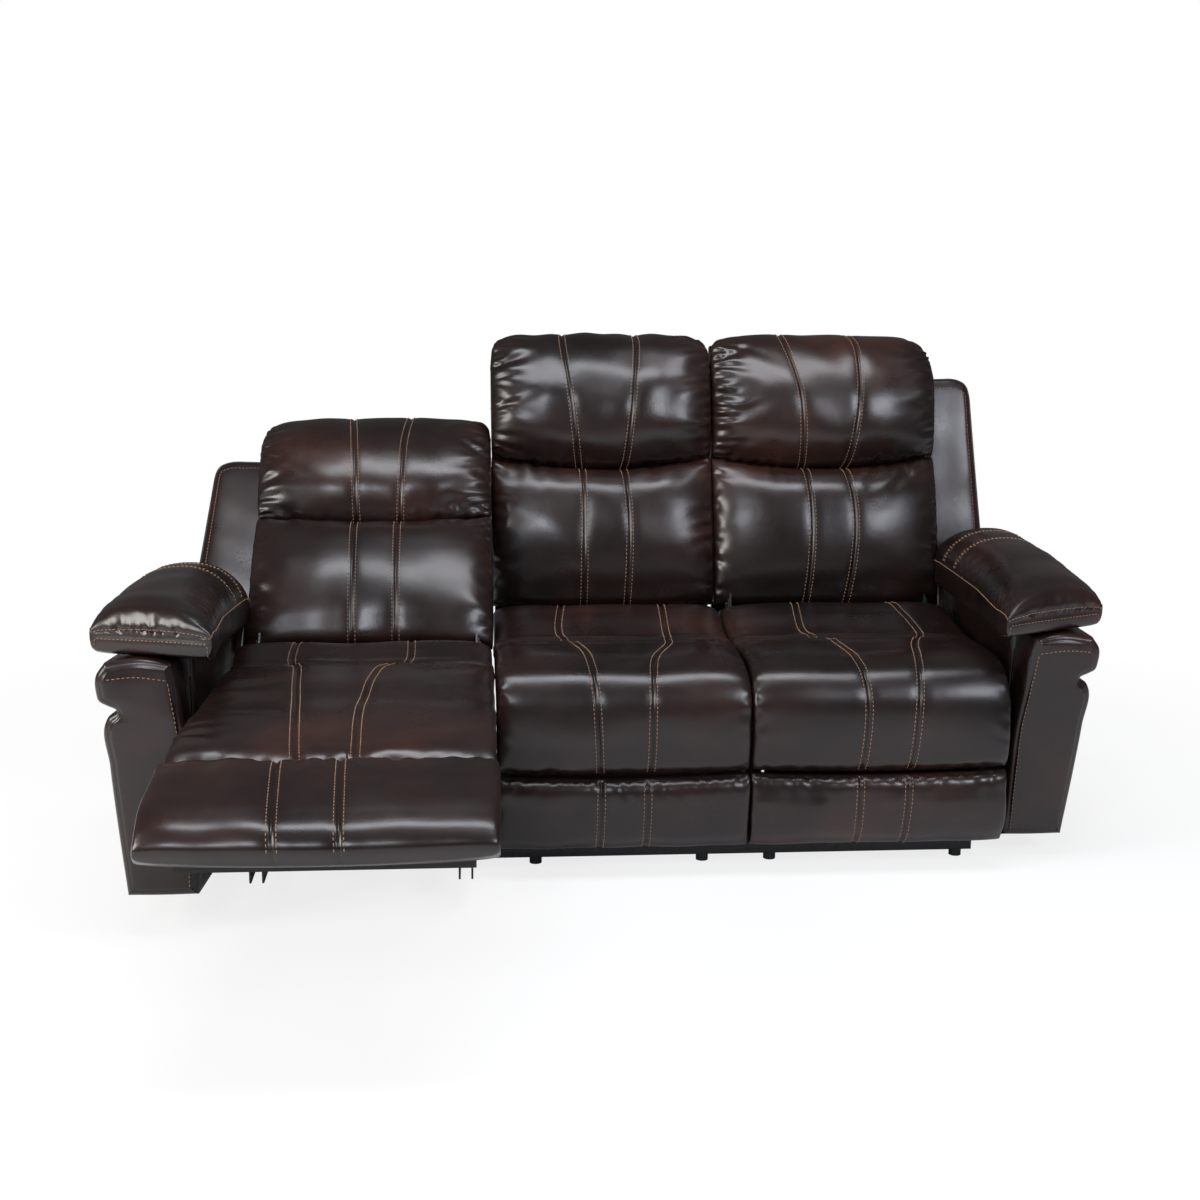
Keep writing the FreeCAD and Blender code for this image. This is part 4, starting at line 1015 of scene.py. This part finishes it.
stage = {
    "floor": (0.90, 0.90, 0.90, 1), "floorDark": (0.80, 0.80, 0.80, 1), "speckle": 3.0, "size": 30.0,
    "sky": (0.90, 0.95, 1.0, 1), "skyStrength": 0.13, "white": (1, 1, 1, 1),
    "fade": {"From Min": 1.0, "From Max": 2.6, "To Min": 0.80, "To Max": 1.0},
}
floorMesh = bpy.data.meshes.new("floor")
h = stage["size"]
floorMesh.from_pydata([(-h, -h, 0), (h, -h, 0), (h, h, 0), (-h, h, 0)], [], [(0, 1, 2, 3)])
floor = bpy.data.objects.new("floor", floorMesh)
bpy.context.scene.collection.objects.link(floor)
floorMaterial, n, l, b = newMaterial("paleFloor")
speckle = n.new("ShaderNodeTexNoise")
speckle.inputs["Scale"].default_value = stage["speckle"]
tint = n.new("ShaderNodeValToRGB")
tint.color_ramp.elements[0].color = stage["floorDark"]
tint.color_ramp.elements[1].color = stage["floor"]
l.new(speckle.outputs["Fac"], tint.inputs["Fac"])
l.new(tint.outputs["Color"], b.inputs["Base Color"])
b.inputs["Roughness"].default_value = 0.9
b.inputs["Specular IOR Level"].default_value = 0.1
glow = n.new("ShaderNodeEmission")
glow.inputs["Color"].default_value = stage["white"]
seen = n.new("ShaderNodeLightPath")
where = n.new("ShaderNodeTexCoord")
away = n.new("ShaderNodeVectorMath")
away.operation = "LENGTH"
l.new(where.outputs["Object"], away.inputs[0])
fade = n.new("ShaderNodeMapRange")  # white far from the sofa, a faint shadow near it
for key, value in stage["fade"].items():
    fade.inputs[key].default_value = value
l.new(away.outputs["Value"], fade.inputs["Value"])
part = n.new("ShaderNodeMath")
part.operation = "MULTIPLY"
l.new(fade.outputs["Result"], part.inputs[1])
l.new(seen.outputs["Is Camera Ray"], part.inputs[0])
mix = n.new("ShaderNodeMixShader")
l.new(part.outputs[0], mix.inputs[0])
l.new(b.outputs[0], mix.inputs[1])
l.new(glow.outputs[0], mix.inputs[2])
l.new(mix.outputs[0], n["Material Output"].inputs["Surface"])
floorMesh.materials.append(floorMaterial)

world = bpy.context.scene.world or bpy.data.worlds.new("studio")
bpy.context.scene.world = world
world.use_nodes = True
n, l = world.node_tree.nodes, world.node_tree.links
n.clear()
out = n.new("ShaderNodeOutputWorld")
soft, white = n.new("ShaderNodeBackground"), n.new("ShaderNodeBackground")
soft.inputs["Color"].default_value = stage["sky"]
soft.inputs["Strength"].default_value = stage["skyStrength"]
white.inputs["Color"].default_value = stage["white"]
path = n.new("ShaderNodeLightPath")
blend = n.new("ShaderNodeMixShader")
l.new(path.outputs["Is Camera Ray"], blend.inputs[0])
l.new(soft.outputs[0], blend.inputs[1])
l.new(white.outputs[0], blend.inputs[2])
l.new(blend.outputs[0], out.inputs[0])

lamps = {
    "leftWindow": {"at": (-3.6, -1.6, 1.9), "to": (0, 0, 0.6), "size": (1.5, 1.9), "watts": 135,
                   "colour": (1.0, 0.97, 0.92)},
    "rightBox": {"at": (2.5, -3.0, 2.7), "to": (0.2, 0, 0.7), "size": (1.1, 1.1), "watts": 75,
                 "colour": (0.86, 0.90, 1.0)},
    "frontBox": {"at": (-1.6, -4.0, 3.0), "to": (0, 0, 0.7), "size": (1.0, 1.0), "watts": 70,
                 "colour": (0.88, 0.92, 1.0)},
    "overhead": {"at": (0.0, -0.5, 3.4), "to": (0, 0, 0.4), "size": (2.8, 0.9), "watts": 95,
                 "colour": (0.92, 0.94, 1.0)},
}
for name, lamp in lamps.items():
    data = bpy.data.lights.new(name, "AREA")
    data.shape = "RECTANGLE"
    data.size, data.size_y = lamp["size"]
    data.energy = lamp["watts"]
    data.color = lamp["colour"]
    obj = bpy.data.objects.new(name, data)
    obj.location = lamp["at"]
    obj.rotation_euler = (Vector(lamp["to"]) - Vector(lamp["at"])).to_track_quat("-Z", "Y").to_euler()
    bpy.context.scene.collection.objects.link(obj)

view = {"at": (-0.2959, -3.2313, 1.247), "yaw": -4.33, "pitch": 11.58, "roll": 0.42, "lens": 49.65}
camera = bpy.data.objects.new("camera", bpy.data.cameras.new("camera"))
camera.data.lens = view["lens"]
camera.data.sensor_width = 36.0
turn = (Matrix.Rotation(math.radians(view["yaw"]), 4, "Z")
        @ Matrix.Rotation(math.radians(90 - view["pitch"]), 4, "X")
        @ Matrix.Rotation(math.radians(view["roll"]), 4, "Z"))
camera.matrix_world = Matrix.Translation(view["at"]) @ turn
bpy.context.scene.collection.objects.link(camera)
bpy.context.scene.camera = camera
bpy.context.scene.view_settings.view_transform = "Standard"
print("stage ready")
